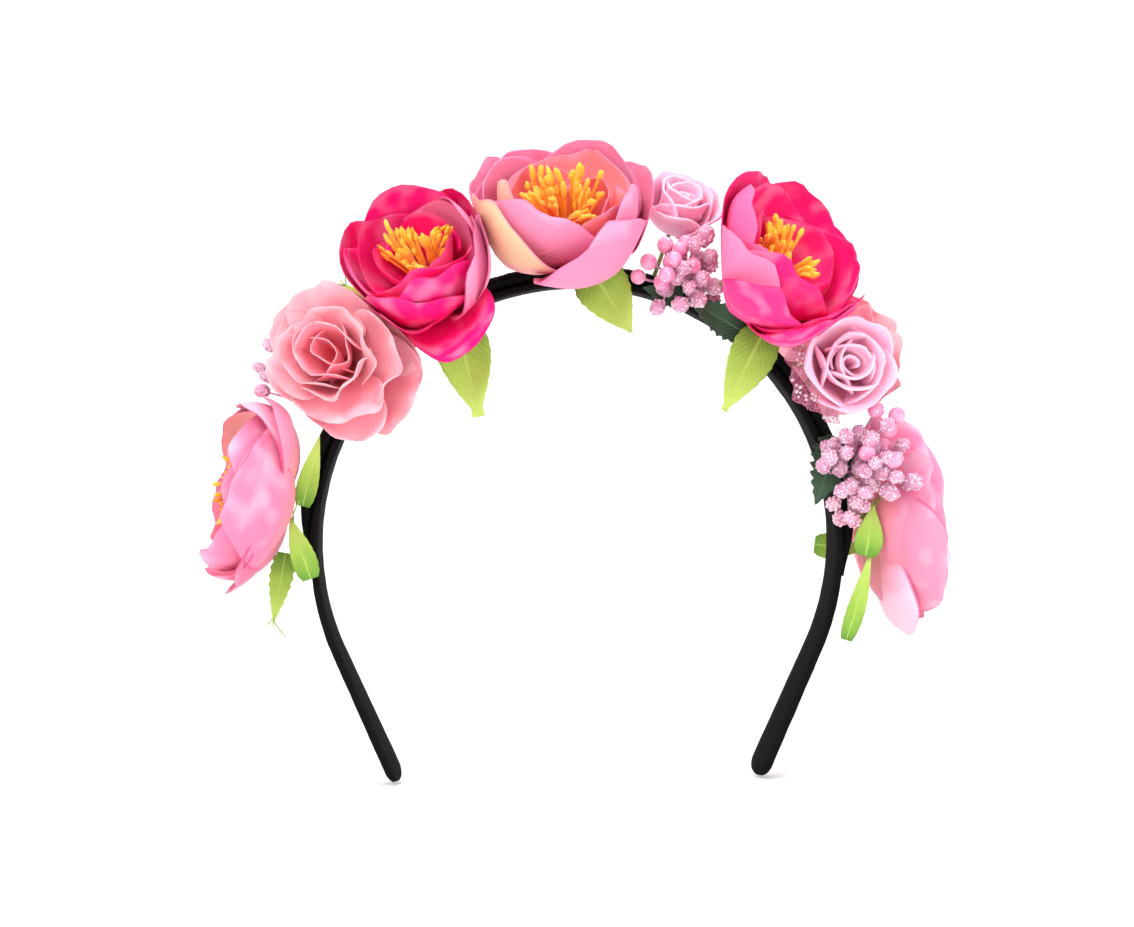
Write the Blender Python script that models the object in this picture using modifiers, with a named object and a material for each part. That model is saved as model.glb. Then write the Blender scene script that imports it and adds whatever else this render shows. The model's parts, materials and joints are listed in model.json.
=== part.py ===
"""Flower crown: fabric flowers, berries and leaves wired to a covered Alice band.

The origin is on the inner face of the band at its top. +X is the wearer's left, which is the
viewer's right, -Y is the front and +Z is up. Places along the band are arc lengths from the top.
"""
import math
import bmesh
import bpy
from mathutils import Matrix, Vector

MM = 0.001

# Alice band: a spring core in a fabric cover
ARC_R = 69 * MM             # inside radius of the arch
ARC_END = math.radians(114)  # where the arch turns into straight legs
LEG_LENGTH = 38 * MM        # straight leg below the arch
CORE_THICK = 1.4 * MM
CORE_WIDTH = 8.6 * MM
COVER_WALL = 0.4 * MM
TIP_ROOM = 3 * MM           # empty cover past each core end
TIP_TWIST = math.radians(17)  # how far the legs turn about their own length
TWIST_FROM = 60 * MM        # arc length where the twist begins
FIT_GAP = 0.3 * MM          # clearance between pieces that touch
FLEX_AT = 14.5 * MM         # arc length of the two flex points
FLEX_GAP = 0.5 * MM         # cut of core and cover at a flex point
BAND_STEP = 6 * MM

# Garland wire along the outside of the band
WIRE_R = 1.2 * MM
WIRE_FLEX_GAP = 1.1 * MM
WIRE_PAST_FLOWERS = 14 * MM
SMALL_STEM_R = 0.4 * MM

PETAL_THICK = 0.55 * MM
PETAL_STEP = 3              # facets across one petal
LEAF_THICK = 0.5 * MM
CALYX_HEIGHT = 4.6 * MM
CALYX_R = 4.2 * MM
STEM_R = 1.0 * MM
PETAL_EYE_R = 2.0 * MM      # hole at the foot of a ring of petals
BOWL_TURN = math.radians(76)  # how steep a ring of petals stands at its rim

COVER_DEPTH = CORE_THICK + 2 * (FIT_GAP + COVER_WALL)
COVER_WIDTH = CORE_WIDTH + 2 * (FIT_GAP + COVER_WALL)
WIRE_LINE = COVER_DEPTH + FIT_GAP + WIRE_R      # height of the wire's centre over the inner face
FLOWER_FOOT = WIRE_LINE + WIRE_R + FIT_GAP      # height where stems start
BAND_END = ARC_R * ARC_END + LEG_LENGTH
WIDER = COVER_WIDTH / 2 - 5 * MM    # pieces beside the band were placed for a cover 10 mm wide

# Peonies. at: arc length. lift: extra stem. tilt: turn of the axis towards the front.
# along and across: half widths. cup: radius of the inner cup. high: its height.
# open: rise of the outer petals. droop: how far their front edge hangs back.
PEONIES = {
    "peony_left": dict(
        at=-96, lift=0.5, tilt=9, lean=0, along=26, across=20.5, cup=15.5, high=14,
        open=14, droop=2, petals=7, spin=10, colour="light_pink"),
    "peony_upper_left": dict(
        at=-35, lift=0.5, tilt=42, lean=-3, along=19, across=23, cup=17, high=17,
        open=16, droop=2, petals=7, spin=35, colour="hot_pink"),
    "peony_top": dict(
        at=-3.5, lift=0, tilt=36, lean=-2, along=22.8, across=24.5, cup=18.5, high=20,
        open=19, droop=1.5, petals=8, spin=0, colour="light_pink"),
    "peony_upper_right": dict(
        at=42, lift=4, tilt=38, lean=0, along=21.5, across=26, cup=18, high=19,
        open=18, droop=2, petals=7, spin=60, colour="hot_pink"),
    "peony_right": dict(
        at=103, lift=1.5, tilt=-16, lean=0, along=29.5, across=18, cup=14.5, high=15,
        open=16, droop=2, petals=7, spin=20, colour="light_pink"),
}

# Coral roses: the same words as the peonies.
ROSES = {
    "rose_left": dict(
        at=-63, lift=1.5, tilt=62, lean=0, along=17, across=21.5, cup=11.5, high=11,
        open=8, droop=0, petals=6, spin=0, colour="coral"),
    "rose_right": dict(
        at=66.5, lift=8.5, tilt=-34, lean=0, along=13.5, across=17, cup=9.5, high=9,
        open=9, droop=0, petals=6, spin=25, colour="coral"),
}

# Foam roses: radius of the bloom, its place over the wire and in front of the band.
FOAM_ROSES = {
    "foam_rose_top": dict(at=20.4, out=20.5, front=-3, tilt=42, radius=9, foot=18.5),
    "foam_rose_right": dict(at=66.5, out=9.5, front=18, tilt=80, radius=9.6, foot=58.5),
}

# Berry picks: places from the foot of each pick, in millimetres along the band, out from it
# and to the front. A pick's wires start together at (at, front).
BERRY_PICKS = {
    "berry_pearls_top": dict(
        at=22, start=2.6, radius=2.25, squash=1.0, colour="pearl",
        places=((-4.4, 8.4, 11), (0.8, 10.6, 11), (4.4, 5.2, 13), (-2.2, -1.8, 12),
                (-1.6, 4.6, 17), (-7.6, 2.2, 13.4))),
    "berry_sugared_top": dict(
        at=24.8, start=1.7, radius=2.6, squash=1.2, colour="sugared",
        places=((2.2, 14.8, 7.5), (5.2, 9.8, 8), (9.2, 2.6, 9), (4.6, 2.8, 13),
                (5.8, -2.4, 12))),
    "berry_beaded_top": dict(
        at=27.6, start=1.0, radius=2.1, squash=1.0, colour="beaded",
        places=((2.6, 8.8, 2.6), (5, 3, 3), (7.6, -0.4, 4.4))),
    "berry_pearls_right": dict(
        at=88, start=2.6, radius=2.25, squash=1.0, colour="pearl",
        places=((-2.2, 4.4, 17.5), (-12.6, 10.2, 16.5), (-9.4, 15.4, 16), (1.6, 10.4, 19),
                (-6.4, 4.8, 10.6), (-2, 10.4, 12))),
    "berry_sugared_right": dict(
        at=91, start=1.7, radius=2.6, squash=1.2, colour="sugared",
        places=((5.2, 15, 17), (2.4, -1.4, 13.5), (6.4, 8, 15.5))),
    "berry_beaded_right": dict(
        at=94, start=1.0, radius=2.0, squash=1.0, colour="beaded",
        places=((3.4, -6.4, 9.4), (7.6, -5.6, 9.4), (8.8, -2, 9.6), (1, 3, 9.8))),
    "berry_pick_left": dict(
        at=-73.5, start=1.0, radius=2.2, squash=1.0, colour="pearl",
        places=((12.6, 23, -5), (-0.6, 19, -5.5), (-5, 20, -4))),
}

# Leaves. at: arc length of the foot. out and front: the foot's height over the wire and its
# distance in front of it. heading: direction in the band's plane, clockwise from straight out.
# pitch: towards the front.
LEAVES = {
    "leaf_top": dict(
        at=3, out=-0.5, front=6.4, heading=150, pitch=10, length=20, width=13),
    "leaf_upper_left": dict(
        at=-36, out=-7, front=8, heading=-167, pitch=6, length=25, width=13),
    "leaf_rose_left": dict(
        at=-49, out=3.5, front=-7, heading=-8, pitch=-14, length=17, width=7),
    "leaf_left_curved": dict(
        at=-80.5, out=0, front=6.6, heading=-97, pitch=0, length=19, width=5.5),
    "leaf_left_low": dict(
        at=-101, out=2.2, front=6.8, heading=-112, pitch=6, length=17, width=6),
    "leaf_left_serrated": dict(
        at=-110, out=3.4, front=0, heading=-76, pitch=0, length=19, width=6),
    "leaf_upper_right": dict(
        at=48, out=0.5, front=8.2, heading=164, pitch=6, length=24, width=11),
    "leaf_dark_top": dict(
        at=16.2, out=-3.5, front=6.6, heading=95, pitch=0, length=11, width=5.5),
    "leaf_dark_upper": dict(
        at=28.5, out=-2.5, front=7.2, heading=100, pitch=4, length=17, width=8),
    "leaf_ivy": dict(
        at=81, out=0.2, front=7.2, heading=128, pitch=0, length=19, width=10),
    "leaf_right_light": dict(
        at=99, out=4.6, front=7.2, heading=104, pitch=10, length=14, width=7),
    "leaf_right_long": dict(
        at=110, out=4.2, front=6.6, heading=107, pitch=8, length=25, width=5),
    "leaf_right_back": dict(
        at=111, out=5.5, front=-7, heading=188, pitch=0, length=14, width=7),
}
DARK_LEAVES = ("leaf_dark_top", "leaf_dark_upper", "leaf_ivy")

# Tulle ribbon gathered round the right foam rose
TULLE_WIDTH = 9 * MM
TULLE_START, TULLE_TURN = math.radians(200), math.radians(125)
TULLE_THICK = 0.5 * MM

COLOURS = {
    "black_cover": ((0.010, 0.009, 0.010), 0.75, 0.0),
    "band_core": ((0.03, 0.03, 0.03), 0.4, 0.0),
    "floral_tape": ((0.03, 0.07, 0.03), 0.8, 0.0),
    "light_pink": ((0.94, 0.42, 0.66), 0.7, 0.0),
    "hot_pink": ((0.88, 0.02, 0.19), 0.7, 0.0),
    "coral": ((0.90, 0.30, 0.33), 0.7, 0.0),
    "foam_pink": ((0.90, 0.38, 0.58), 0.6, 0.0),
    "stamen": ((0.95, 0.38, 0.02), 0.6, 0.0),
    "pearl": ((0.90, 0.33, 0.60), 0.25, 0.0),
    "sugared": ((0.72, 0.36, 0.60), 0.7, 0.0),
    "beaded": ((0.88, 0.58, 0.70), 0.5, 0.0),
    "leaf_light": ((0.28, 0.48, 0.08), 0.7, 0.0),
    "leaf_dark": ((0.03, 0.08, 0.045), 0.7, 0.0),
    "tulle": ((0.63, 0.26, 0.39), 0.8, 0.0),
}


def clear_scene():
    for thing in list(bpy.data.objects):
        bpy.data.objects.remove(thing)


def new_collection(name):
    collection = bpy.data.collections.new(name)
    bpy.context.scene.collection.children.link(collection)
    return collection


def material_for(node, colour):
    """Each piece has a material of its own."""
    base, roughness, metallic = COLOURS[colour]
    made = bpy.data.materials.new(node + "_" + colour)
    made.use_nodes = True
    shader = made.node_tree.nodes["Principled BSDF"]
    shader.inputs["Base Color"].default_value = (*base, 1)
    shader.inputs["Roughness"].default_value = roughness
    shader.inputs["Metallic"].default_value = metallic
    return made


def add_object(name, data, colour, collection):
    made = bpy.data.objects.new(name, data)
    collection.objects.link(made)
    if colour:
        data.materials.append(material_for(name, colour))
    return made


def make_guide(thing):
    """Guides and cutters shape the pieces and are not pieces themselves."""
    thing.hide_render = True
    thing.display_type = "WIRE"
    return thing


# ---- the band's line -------------------------------------------------------------------------

def band_frame(at, out=0.0, front=0.0):
    """The band's own axes at an arc length: X along it, Y to the back, Z outward."""
    turn = max(-ARC_END, min(ARC_END, at / ARC_R))
    rest = at - turn * ARC_R
    outward = Vector((math.sin(turn), 0, math.cos(turn)))
    along = Vector((math.cos(turn), 0, -math.sin(turn)))
    place = ARC_R * outward - Vector((0, 0, ARC_R)) + rest * along
    place += out * outward - Vector((0, front, 0))
    back = Vector((0, 1, 0))
    return Matrix.Translation(place) @ Matrix((along, back, outward)).transposed().to_4x4()


def stations(start, end):
    """Arc lengths from start to end; no station lies at the top, so a flat facet does."""
    between = []
    step = math.floor(start / BAND_STEP) + 0.5
    while step * BAND_STEP < end:
        if start + FIT_GAP < step * BAND_STEP < end - FIT_GAP:
            between.append(step * BAND_STEP)
        step += 1
    return [start, *between, end]


def twist_at(at):
    """The legs turn their inner faces to the front, more and more towards the tips."""
    return -TIP_TWIST * max(0.0, (abs(at) - TWIST_FROM) / (BAND_END - TWIST_FROM))


def profile_curve(name, depth, width, collection):
    """A strip's cross section: a rectangle with cut corners."""
    corner = depth * 0.3
    x, y = depth / 2, width / 2
    outline = [(x, y - corner), (x - corner, y), (corner - x, y), (-x, y - corner),
               (-x, corner - y), (corner - x, -y), (x - corner, -y), (x, corner - y)]
    data = bpy.data.curves.new(name, "CURVE")
    data.dimensions = "2D"
    line = data.splines.new("POLY")
    line.points.add(len(outline) - 1)
    for point, (px, py) in zip(line.points, outline):
        point.co = (px, py, 0, 1)
    line.use_cyclic_u = True
    return make_guide(add_object(name, data, None, collection))


def beside(front):
    """A piece's distance in front of the band, moved out with the cover's edge."""
    return front * MM + math.copysign(WIDER, front) * min(1, abs(front) / 5)


def path_curve(name, arc_lengths, out, radius_at=None):
    """A curve along the band at a height over its inner face, drawn in its own XY plane."""
    data = bpy.data.curves.new(name, "CURVE")
    data.dimensions = "3D"
    data.twist_mode = "Z_UP"
    line = data.splines.new("POLY")
    line.points.add(len(arc_lengths) - 1)
    for point, at in zip(line.points, arc_lengths):
        place = band_frame(at, out).translation
        point.co = (place.x, place.z, 0, 1)
        point.tilt = twist_at(at)
        point.radius = radius_at(at) if radius_at else 1.0
    return data


def stand_up(thing):
    """Turns a curve drawn in XY into the band's XZ plane."""
    thing.rotation_euler = (math.radians(90), 0, 0)
    return thing


def as_mesh(thing, collection, fill=None):
    """The same shape as a mesh, with its caps welded; fill closes the open ends it picks."""
    bpy.context.view_layer.update()
    shown = thing.evaluated_get(bpy.context.evaluated_depsgraph_get())
    mesh = bpy.data.meshes.new_from_object(shown)
    shape = bmesh.new()
    shape.from_mesh(mesh)
    bmesh.ops.remove_doubles(shape, verts=shape.verts, dist=1e-6)
    if fill:
        edges = [edge for edge in shape.edges if edge.is_boundary and fill(edge)]
        bmesh.ops.holes_fill(shape, edges=edges)
    bmesh.ops.recalc_face_normals(shape, faces=shape.faces)
    shape.to_mesh(mesh)
    shape.free()
    name, place = thing.name, thing.matrix_world.copy()
    bpy.data.objects.remove(thing)
    made = bpy.data.objects.new(name, mesh)
    made.matrix_world = place
    collection.objects.link(made)
    return made


def tip_radius(at):
    """The cover narrows to a rounded tip."""
    left = BAND_END - abs(at)
    room = TIP_ROOM * 0.8
    return 1.0 if left > room else math.sqrt(max(0.08, 1 - (1 - left / room) ** 2))


SECTIONS = {
    "crown": (-FLEX_AT, FLEX_AT),
    "left": (-BAND_END, -FLEX_AT),
    "right": (FLEX_AT, BAND_END),
}


def cut_back(start, end, gap, tip_gap):
    """A section's ends, half a gap back from each flex point and tip_gap from each tip."""
    low = start + (tip_gap if start == -BAND_END else gap / 2)
    high = end - (tip_gap if end == BAND_END else gap / 2)
    return low, high


def make_core(parts, guides):
    profile = profile_curve("core_profile", CORE_THICK, CORE_WIDTH, guides)
    for side, (start, end) in SECTIONS.items():
        low, high = cut_back(start, end, FLEX_GAP, TIP_ROOM)
        data = path_curve("band_core_" + side, stations(low, high), COVER_DEPTH / 2)
        data.bevel_mode = "OBJECT"
        data.bevel_object = profile
        data.use_fill_caps = True
        as_mesh(stand_up(add_object("band_core_" + side, data, "band_core", parts)), parts)


def make_cover(parts, guides):
    profile = profile_curve("cover_profile", COVER_DEPTH, COVER_WIDTH, guides)
    for side, (start, end) in SECTIONS.items():
        low, high = cut_back(start, end, FLEX_GAP, 0)
        places = stations(low, high)
        round_tip = [TIP_ROOM * share for share in (0.8, 0.45, 0.2)]
        if start == -BAND_END:
            places = [places[0], *(low + step for step in reversed(round_tip)), *places[1:]]
        if end == BAND_END:
            places = [*places[:-1], *(high - step for step in round_tip), places[-1]]
        places = sorted(set(places))
        name = "band_cover_" + side
        data = path_curve(name, places, COVER_DEPTH / 2, tip_radius)
        data.bevel_mode = "OBJECT"
        data.bevel_object = profile
        tube = stand_up(add_object(name, data, "black_cover", parts))
        lowest = band_frame(BAND_END, COVER_DEPTH).translation.z

        def at_tip(edge):
            return all(corner.co.y < lowest + LEG_LENGTH / 4 for corner in edge.verts)

        tube = as_mesh(tube, parts, at_tip)
        wall = tube.modifiers.new("wall", "SOLIDIFY")
        wall.thickness = COVER_WALL
        wall.offset = -1


def make_wire(parts):
    places = [flower["at"] * MM for flower in (*PEONIES.values(), *ROSES.values())]
    ends = min(places) - WIRE_PAST_FLOWERS, max(places) + WIRE_PAST_FLOWERS
    sections = {
        "crown": (-FLEX_AT, FLEX_AT),
        "left": (ends[0], -FLEX_AT),
        "right": (FLEX_AT, ends[1]),
    }
    for side, (start, end) in sections.items():
        name = "garland_wire_" + side
        low = start + (WIRE_FLEX_GAP / 2 if start > ends[0] else 0)
        high = end - (WIRE_FLEX_GAP / 2 if end < ends[1] else 0)
        data = path_curve(name, stations(low, high), WIRE_LINE)
        data.bevel_depth = WIRE_R
        data.bevel_resolution = 1
        data.use_fill_caps = True
        stand_up(add_object(name, data, "floral_tape", parts))


# ---- flowers ---------------------------------------------------------------------------------

def turned(profile, steps):
    """A profile of (radius, height) pairs, top outer point first, spun about Z in a bmesh."""
    shape = bmesh.new()
    corners = [shape.verts.new((radius, 0, height)) for radius, height in profile]
    edges = [shape.edges.new(pair) for pair in zip(corners, corners[1:])]
    bmesh.ops.spin(shape, geom=corners + edges, axis=(0, 0, 1), cent=(0, 0, 0),
                   angle=2 * math.pi, steps=steps, use_merge=True)
    bmesh.ops.remove_doubles(shape, verts=shape.verts, dist=1e-6)
    bmesh.ops.recalc_face_normals(shape, faces=shape.faces)
    return shape


def place_shape(name, shape, frame, colour, parts, stretch=1.0):
    """Puts a shape made about Z at a frame, stretched along the band."""
    bmesh.ops.scale(shape, vec=(stretch, 1, 1), verts=shape.verts)
    mesh = bpy.data.meshes.new(name)
    shape.to_mesh(mesh)
    shape.free()
    made = add_object(name, mesh, colour, parts)
    made.matrix_world = frame
    return made


def flower_frame(spec):
    """The foot of a flower's stem, with Z along the flower's axis and -Y its front side."""
    tip_up = STEM_R * abs(math.sin(math.radians(spec["tilt"])))
    foot = band_frame(spec["at"] * MM, FLOWER_FOOT + tip_up)
    return foot @ Matrix.Rotation(math.radians(spec["lean"]), 4, "Y") \
        @ Matrix.Rotation(math.radians(spec["tilt"]), 4, "X")


def petal_ring(name, spec, radius, rise, floor, droop, frame, parts):
    """A ring of petals: a bowl with a notch between petals and every other petal raised."""
    rows = 3
    petals, steps = spec["petals"], spec["petals"] * PETAL_STEP
    profile = []
    for row in range(rows, -1, -1):
        angle = BOWL_TURN * row / rows
        reach, height = math.sin(angle) / math.sin(BOWL_TURN), 1 - math.cos(angle)
        profile.append((PETAL_EYE_R + (radius - PETAL_EYE_R) * reach,
                        floor + rise * height / (1 - math.cos(BOWL_TURN))))
    shape = turned(profile, steps)
    if sum(face.normal.z for face in shape.faces) < 0:
        bmesh.ops.reverse_faces(shape, faces=shape.faces)
    spin = math.radians(spec["spin"])
    for corner in shape.verts:
        angle = math.atan2(corner.co.y, corner.co.x) - spin
        share = (Vector(corner.co.xy).length - PETAL_EYE_R) / (radius - PETAL_EYE_R)
        lobe = abs(math.sin(angle * petals / 2)) ** 0.5
        shrink = 1 - 0.16 * (1 - lobe) * share ** 2
        corner.co.x *= shrink
        corner.co.y *= shrink
        front = max(0.0, -math.sin(angle + spin))
        corner.co.z += share ** 2 * (0.7 * MM * math.sin(3 * angle) - droop * share * front)
    made = place_shape(name, shape, frame, spec["colour"], parts, spec["along"] / spec["across"])
    skin = made.modifiers.new("cloth", "SOLIDIFY")
    skin.thickness = PETAL_THICK
    skin.offset = 1
    return made


def calyx(name, frame, lift, parts, bell=CALYX_R):
    """The green foot under a flower, with its wire stem."""
    height = CALYX_HEIGHT + lift
    profile = [(0, height), (bell, height), (bell * 0.75, height - 1.6 * MM),
               (STEM_R, height - 3.4 * MM), (STEM_R, 0), (0, 0)]
    return place_shape(name, turned(profile, 8), frame, "leaf_light", parts)


def stamens(name, frame, floor, radius, stretch, parts):
    """A brush of stamens: a narrow foot, a flared crown and a dimple in the middle."""
    profile = [(0, floor + 9.4 * MM), (radius * 0.45, floor + 11.4 * MM),
               (radius, floor + 10.6 * MM), (radius * 0.9, floor + 8.4 * MM),
               (2.6 * MM, floor + 2 * MM), (1.6 * MM, floor), (0, floor)]
    return place_shape(name, turned(profile, 12), frame, "stamen", parts, stretch)


def bud(name, frame, floor, radius, height, stretch, colour, parts):
    """A rolled bud with shallow spiral grooves."""
    profile = [(0, floor + height * 0.86), (radius * 0.45, floor + height),
               (radius, floor + height * 0.72), (radius * 0.8, floor + height * 0.32),
               (radius * 0.3, floor), (0, floor)]
    shape = turned(profile, 15)
    for corner in shape.verts:
        angle = math.atan2(corner.co.y, corner.co.x)
        groove = 1 + 0.07 * math.sin(3 * angle + 400 * (corner.co.z - floor))
        corner.co.x *= groove
        corner.co.y *= groove
    return place_shape(name, shape, frame, colour, parts, stretch)


def make_peony(name, spec, parts):
    frame = flower_frame(spec)
    lift = spec["lift"] * MM
    stretch = spec["along"] / spec["across"]
    outer_floor = CALYX_HEIGHT + lift + FIT_GAP
    inner_floor = outer_floor + PETAL_THICK + 2 * FIT_GAP
    calyx(name + "_calyx", frame, lift, parts, CALYX_R * min(1, stretch))
    petal_ring(name + "_outer_petals", spec, spec["across"] * MM, spec["open"] * MM,
               outer_floor, spec["droop"] * MM, frame, parts)
    petal_ring(name + "_cup_petals", spec, spec["cup"] * MM, spec["high"] * MM,
               inner_floor, 0, frame, parts)
    stamens(name + "_stamens", frame, inner_floor + PETAL_THICK + 2 * FIT_GAP,
            spec["cup"] * MM * 0.5, stretch, parts)


def make_rose(name, spec, parts):
    frame = flower_frame(spec)
    lift = spec["lift"] * MM
    stretch = spec["along"] / spec["across"]
    outer_floor = CALYX_HEIGHT + lift + FIT_GAP
    calyx(name + "_calyx", frame, lift, parts, CALYX_R * min(1, stretch))
    petal_ring(name + "_outer_petals", spec, spec["across"] * MM, spec["open"] * MM,
               outer_floor, spec["droop"] * MM, frame, parts)
    bud(name + "_bud", frame, outer_floor + PETAL_THICK + 2 * FIT_GAP, spec["cup"] * MM,
        spec["high"] * MM, stretch, spec["colour"], parts)


# ---- pieces on wires -------------------------------------------------------------------------

def rod_between(start, end, radius):
    """A straight wire as a capped six-sided cylinder."""
    shape = bmesh.new()
    line = end - start
    turn = line.to_track_quat("Z", "Y").to_matrix().to_4x4()
    place = Matrix.Translation((start + end) / 2) @ turn
    bmesh.ops.create_cone(shape, cap_ends=True, segments=6, radius1=radius, radius2=radius,
                          depth=line.length, matrix=place)
    return shape


def ball(centre, radius, squash=1.0, direction=Vector((0, 0, 1))):
    shape = bmesh.new()
    turn = direction.to_track_quat("Z", "Y").to_matrix().to_4x4()
    size = Matrix.Diagonal((radius / squash, radius / squash, radius, 1))
    bmesh.ops.create_uvsphere(shape, u_segments=7, v_segments=5, radius=1,
                              matrix=Matrix.Translation(centre) @ turn @ size)
    return shape


def shape_object(name, shape, colour, collection):
    mesh = bpy.data.meshes.new(name)
    shape.to_mesh(mesh)
    shape.free()
    return add_object(name, mesh, colour, collection)


def unite(body, pieces, guides):
    """Joins pieces that overlap a body into it, as one solid."""
    tools = bpy.data.collections.new(body.name + "_pieces")
    guides.children.link(tools)
    for piece in pieces:
        guides.objects.unlink(piece)
        tools.objects.link(piece)
        make_guide(piece)
    joined = body.modifiers.new("joined", "BOOLEAN")
    joined.operation = "UNION"
    joined.operand_type = "COLLECTION"
    joined.collection = tools
    joined.solver = "EXACT"


def make_berries(name, spec, parts, guides):
    """A pick of berries: wires fan out from one knot beside the garland wire."""
    root = band_frame(spec["at"] * MM, FLOWER_FOOT + STEM_R, spec["start"] * MM)
    foot = root.translation
    body = shape_object(name, ball(foot, STEM_R), spec["colour"], parts)
    pieces = []
    for along, out, front in spec["places"]:
        place = band_frame(spec["at"] * MM, FLOWER_FOOT, 0) @ Vector((
            along * MM, -beside(front), out * MM))
        direction = (place - foot).normalized()
        wire = rod_between(foot, place, SMALL_STEM_R)
        pieces.append(shape_object("wire", wire, spec["colour"], guides))
        berry = ball(place, spec["radius"] * MM, spec["squash"], direction)
        pieces.append(shape_object("berry", berry, spec["colour"], guides))
    unite(body, pieces, guides)


def foam_frame(spec):
    """Centre of a foam rose with Z along its axis."""
    place = band_frame(spec["at"] * MM, FLOWER_FOOT + spec["out"] * MM, spec["front"] * MM)
    return place @ Matrix.Rotation(math.radians(spec["tilt"]), 4, "X")


def make_foam_rose(name, spec, parts, guides):
    """A foam rose: a ring of curled petals round a bud that sits on its wire."""
    frame = foam_frame(spec)
    radius = spec["radius"] * MM
    ring = dict(petals=5, spin=15, colour="foam_pink", along=1, across=1)
    petal_ring(name + "_petals", ring, radius, radius * 0.75, -radius * 0.5, 0, frame, parts)
    floor = -radius * 0.5 + PETAL_THICK + 2 * FIT_GAP
    heart = bud(name + "_heart", frame, floor, radius * 0.52, radius * 0.95, 1, "foam_pink", parts)
    foot = band_frame(spec["foot"] * MM, FLOWER_FOOT + SMALL_STEM_R, 1.6 * MM).translation
    neck = frame @ Vector((0, 0, -radius * 0.9))
    inside = frame @ Vector((0, 0, floor + radius * 0.3))
    stem = [shape_object("stem", rod_between(foot, neck, STEM_R * 0.6), "leaf_light", guides),
            shape_object("elbow", ball(neck, STEM_R * 0.75), "leaf_light", guides),
            shape_object("neck", rod_between(neck, inside, STEM_R * 0.6), "leaf_light", guides)]
    unite(heart, stem, guides)


def make_leaf(name, spec, parts):
    """A leaf blade: a narrow grid with a fold along its middle and a bend along its length."""
    foot = band_frame(spec["at"] * MM, FLOWER_FOOT + spec["out"] * MM, beside(spec["front"]))
    frame = foot @ Matrix.Rotation(math.radians(spec["heading"]), 4, "Y") \
        @ Matrix.Rotation(math.radians(spec["pitch"]), 4, "X")
    rows = 7
    shape = bmesh.new()
    bmesh.ops.create_grid(shape, x_segments=2, y_segments=rows, size=0.5)
    length, half = spec["length"] * MM, spec["width"] * MM / 2
    for corner in shape.verts:
        across, share = corner.co.x * 2, corner.co.y + 0.5
        wide = max(0.12, math.sin(math.pi * share ** 0.8) ** 0.75)
        bend = 0.05 * length * share * share
        corner.co = (across * half * wide, bend + 0.18 * half * wide * abs(across),
                     share * length)
    bmesh.ops.recalc_face_normals(shape, faces=shape.faces)
    colour = "leaf_dark" if name in DARK_LEAVES else "leaf_light"
    made = place_shape(name, shape, frame, colour, parts)
    blade = made.modifiers.new("cloth", "SOLIDIFY")
    blade.thickness = LEAF_THICK
    blade.offset = 0


def make_tulle(parts):
    """Ribbon gathered in part of a ring behind the right foam rose."""
    spec = FOAM_ROSES["foam_rose_right"]
    frame = foam_frame(spec)
    inner = spec["radius"] * MM * 0.55
    steps = 22
    shape = bmesh.new()
    bmesh.ops.create_grid(shape, x_segments=steps, y_segments=2, size=0.5)
    for corner in shape.verts:
        angle = TULLE_START + TULLE_TURN * (corner.co.x + 0.5)
        share = corner.co.y + 0.5
        radius = inner + TULLE_WIDTH * share
        pleat = 0.9 * MM * share * math.cos(math.pi * steps / 2 * (corner.co.x + 0.5))
        corner.co = (radius * math.cos(angle), radius * math.sin(angle),
                     -spec["radius"] * MM * 0.72 - 1.6 * MM + pleat)
    bmesh.ops.recalc_face_normals(shape, faces=shape.faces)
    made = place_shape("tulle_ribbon", shape, frame, "tulle", parts)
    cloth = made.modifiers.new("cloth", "SOLIDIFY")
    cloth.thickness = TULLE_THICK
    cloth.offset = 0


def shade(parts):
    for thing in parts.objects:
        if thing.type == "MESH":
            thing.data.shade_smooth()
            thing.data.set_sharp_from_angle(angle=math.radians(40))


def main():
    clear_scene()
    parts = new_collection("flower_crown")
    guides = new_collection("guides")
    make_core(parts, guides)
    make_cover(parts, guides)
    make_wire(parts)
    for name, spec in PEONIES.items():
        make_peony(name, spec, parts)
    for name, spec in ROSES.items():
        make_rose(name, spec, parts)
    for name, spec in FOAM_ROSES.items():
        make_foam_rose(name, spec, parts, guides)
    for name, spec in BERRY_PICKS.items():
        make_berries(name, spec, parts, guides)
    for name, spec in LEAVES.items():
        make_leaf(name, spec, parts)
    make_tulle(parts)
    shade(parts)


main()
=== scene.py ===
"""Flower crown: fabric peonies, roses, foam roses, berries and leaves on a covered Alice band."""

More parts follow.
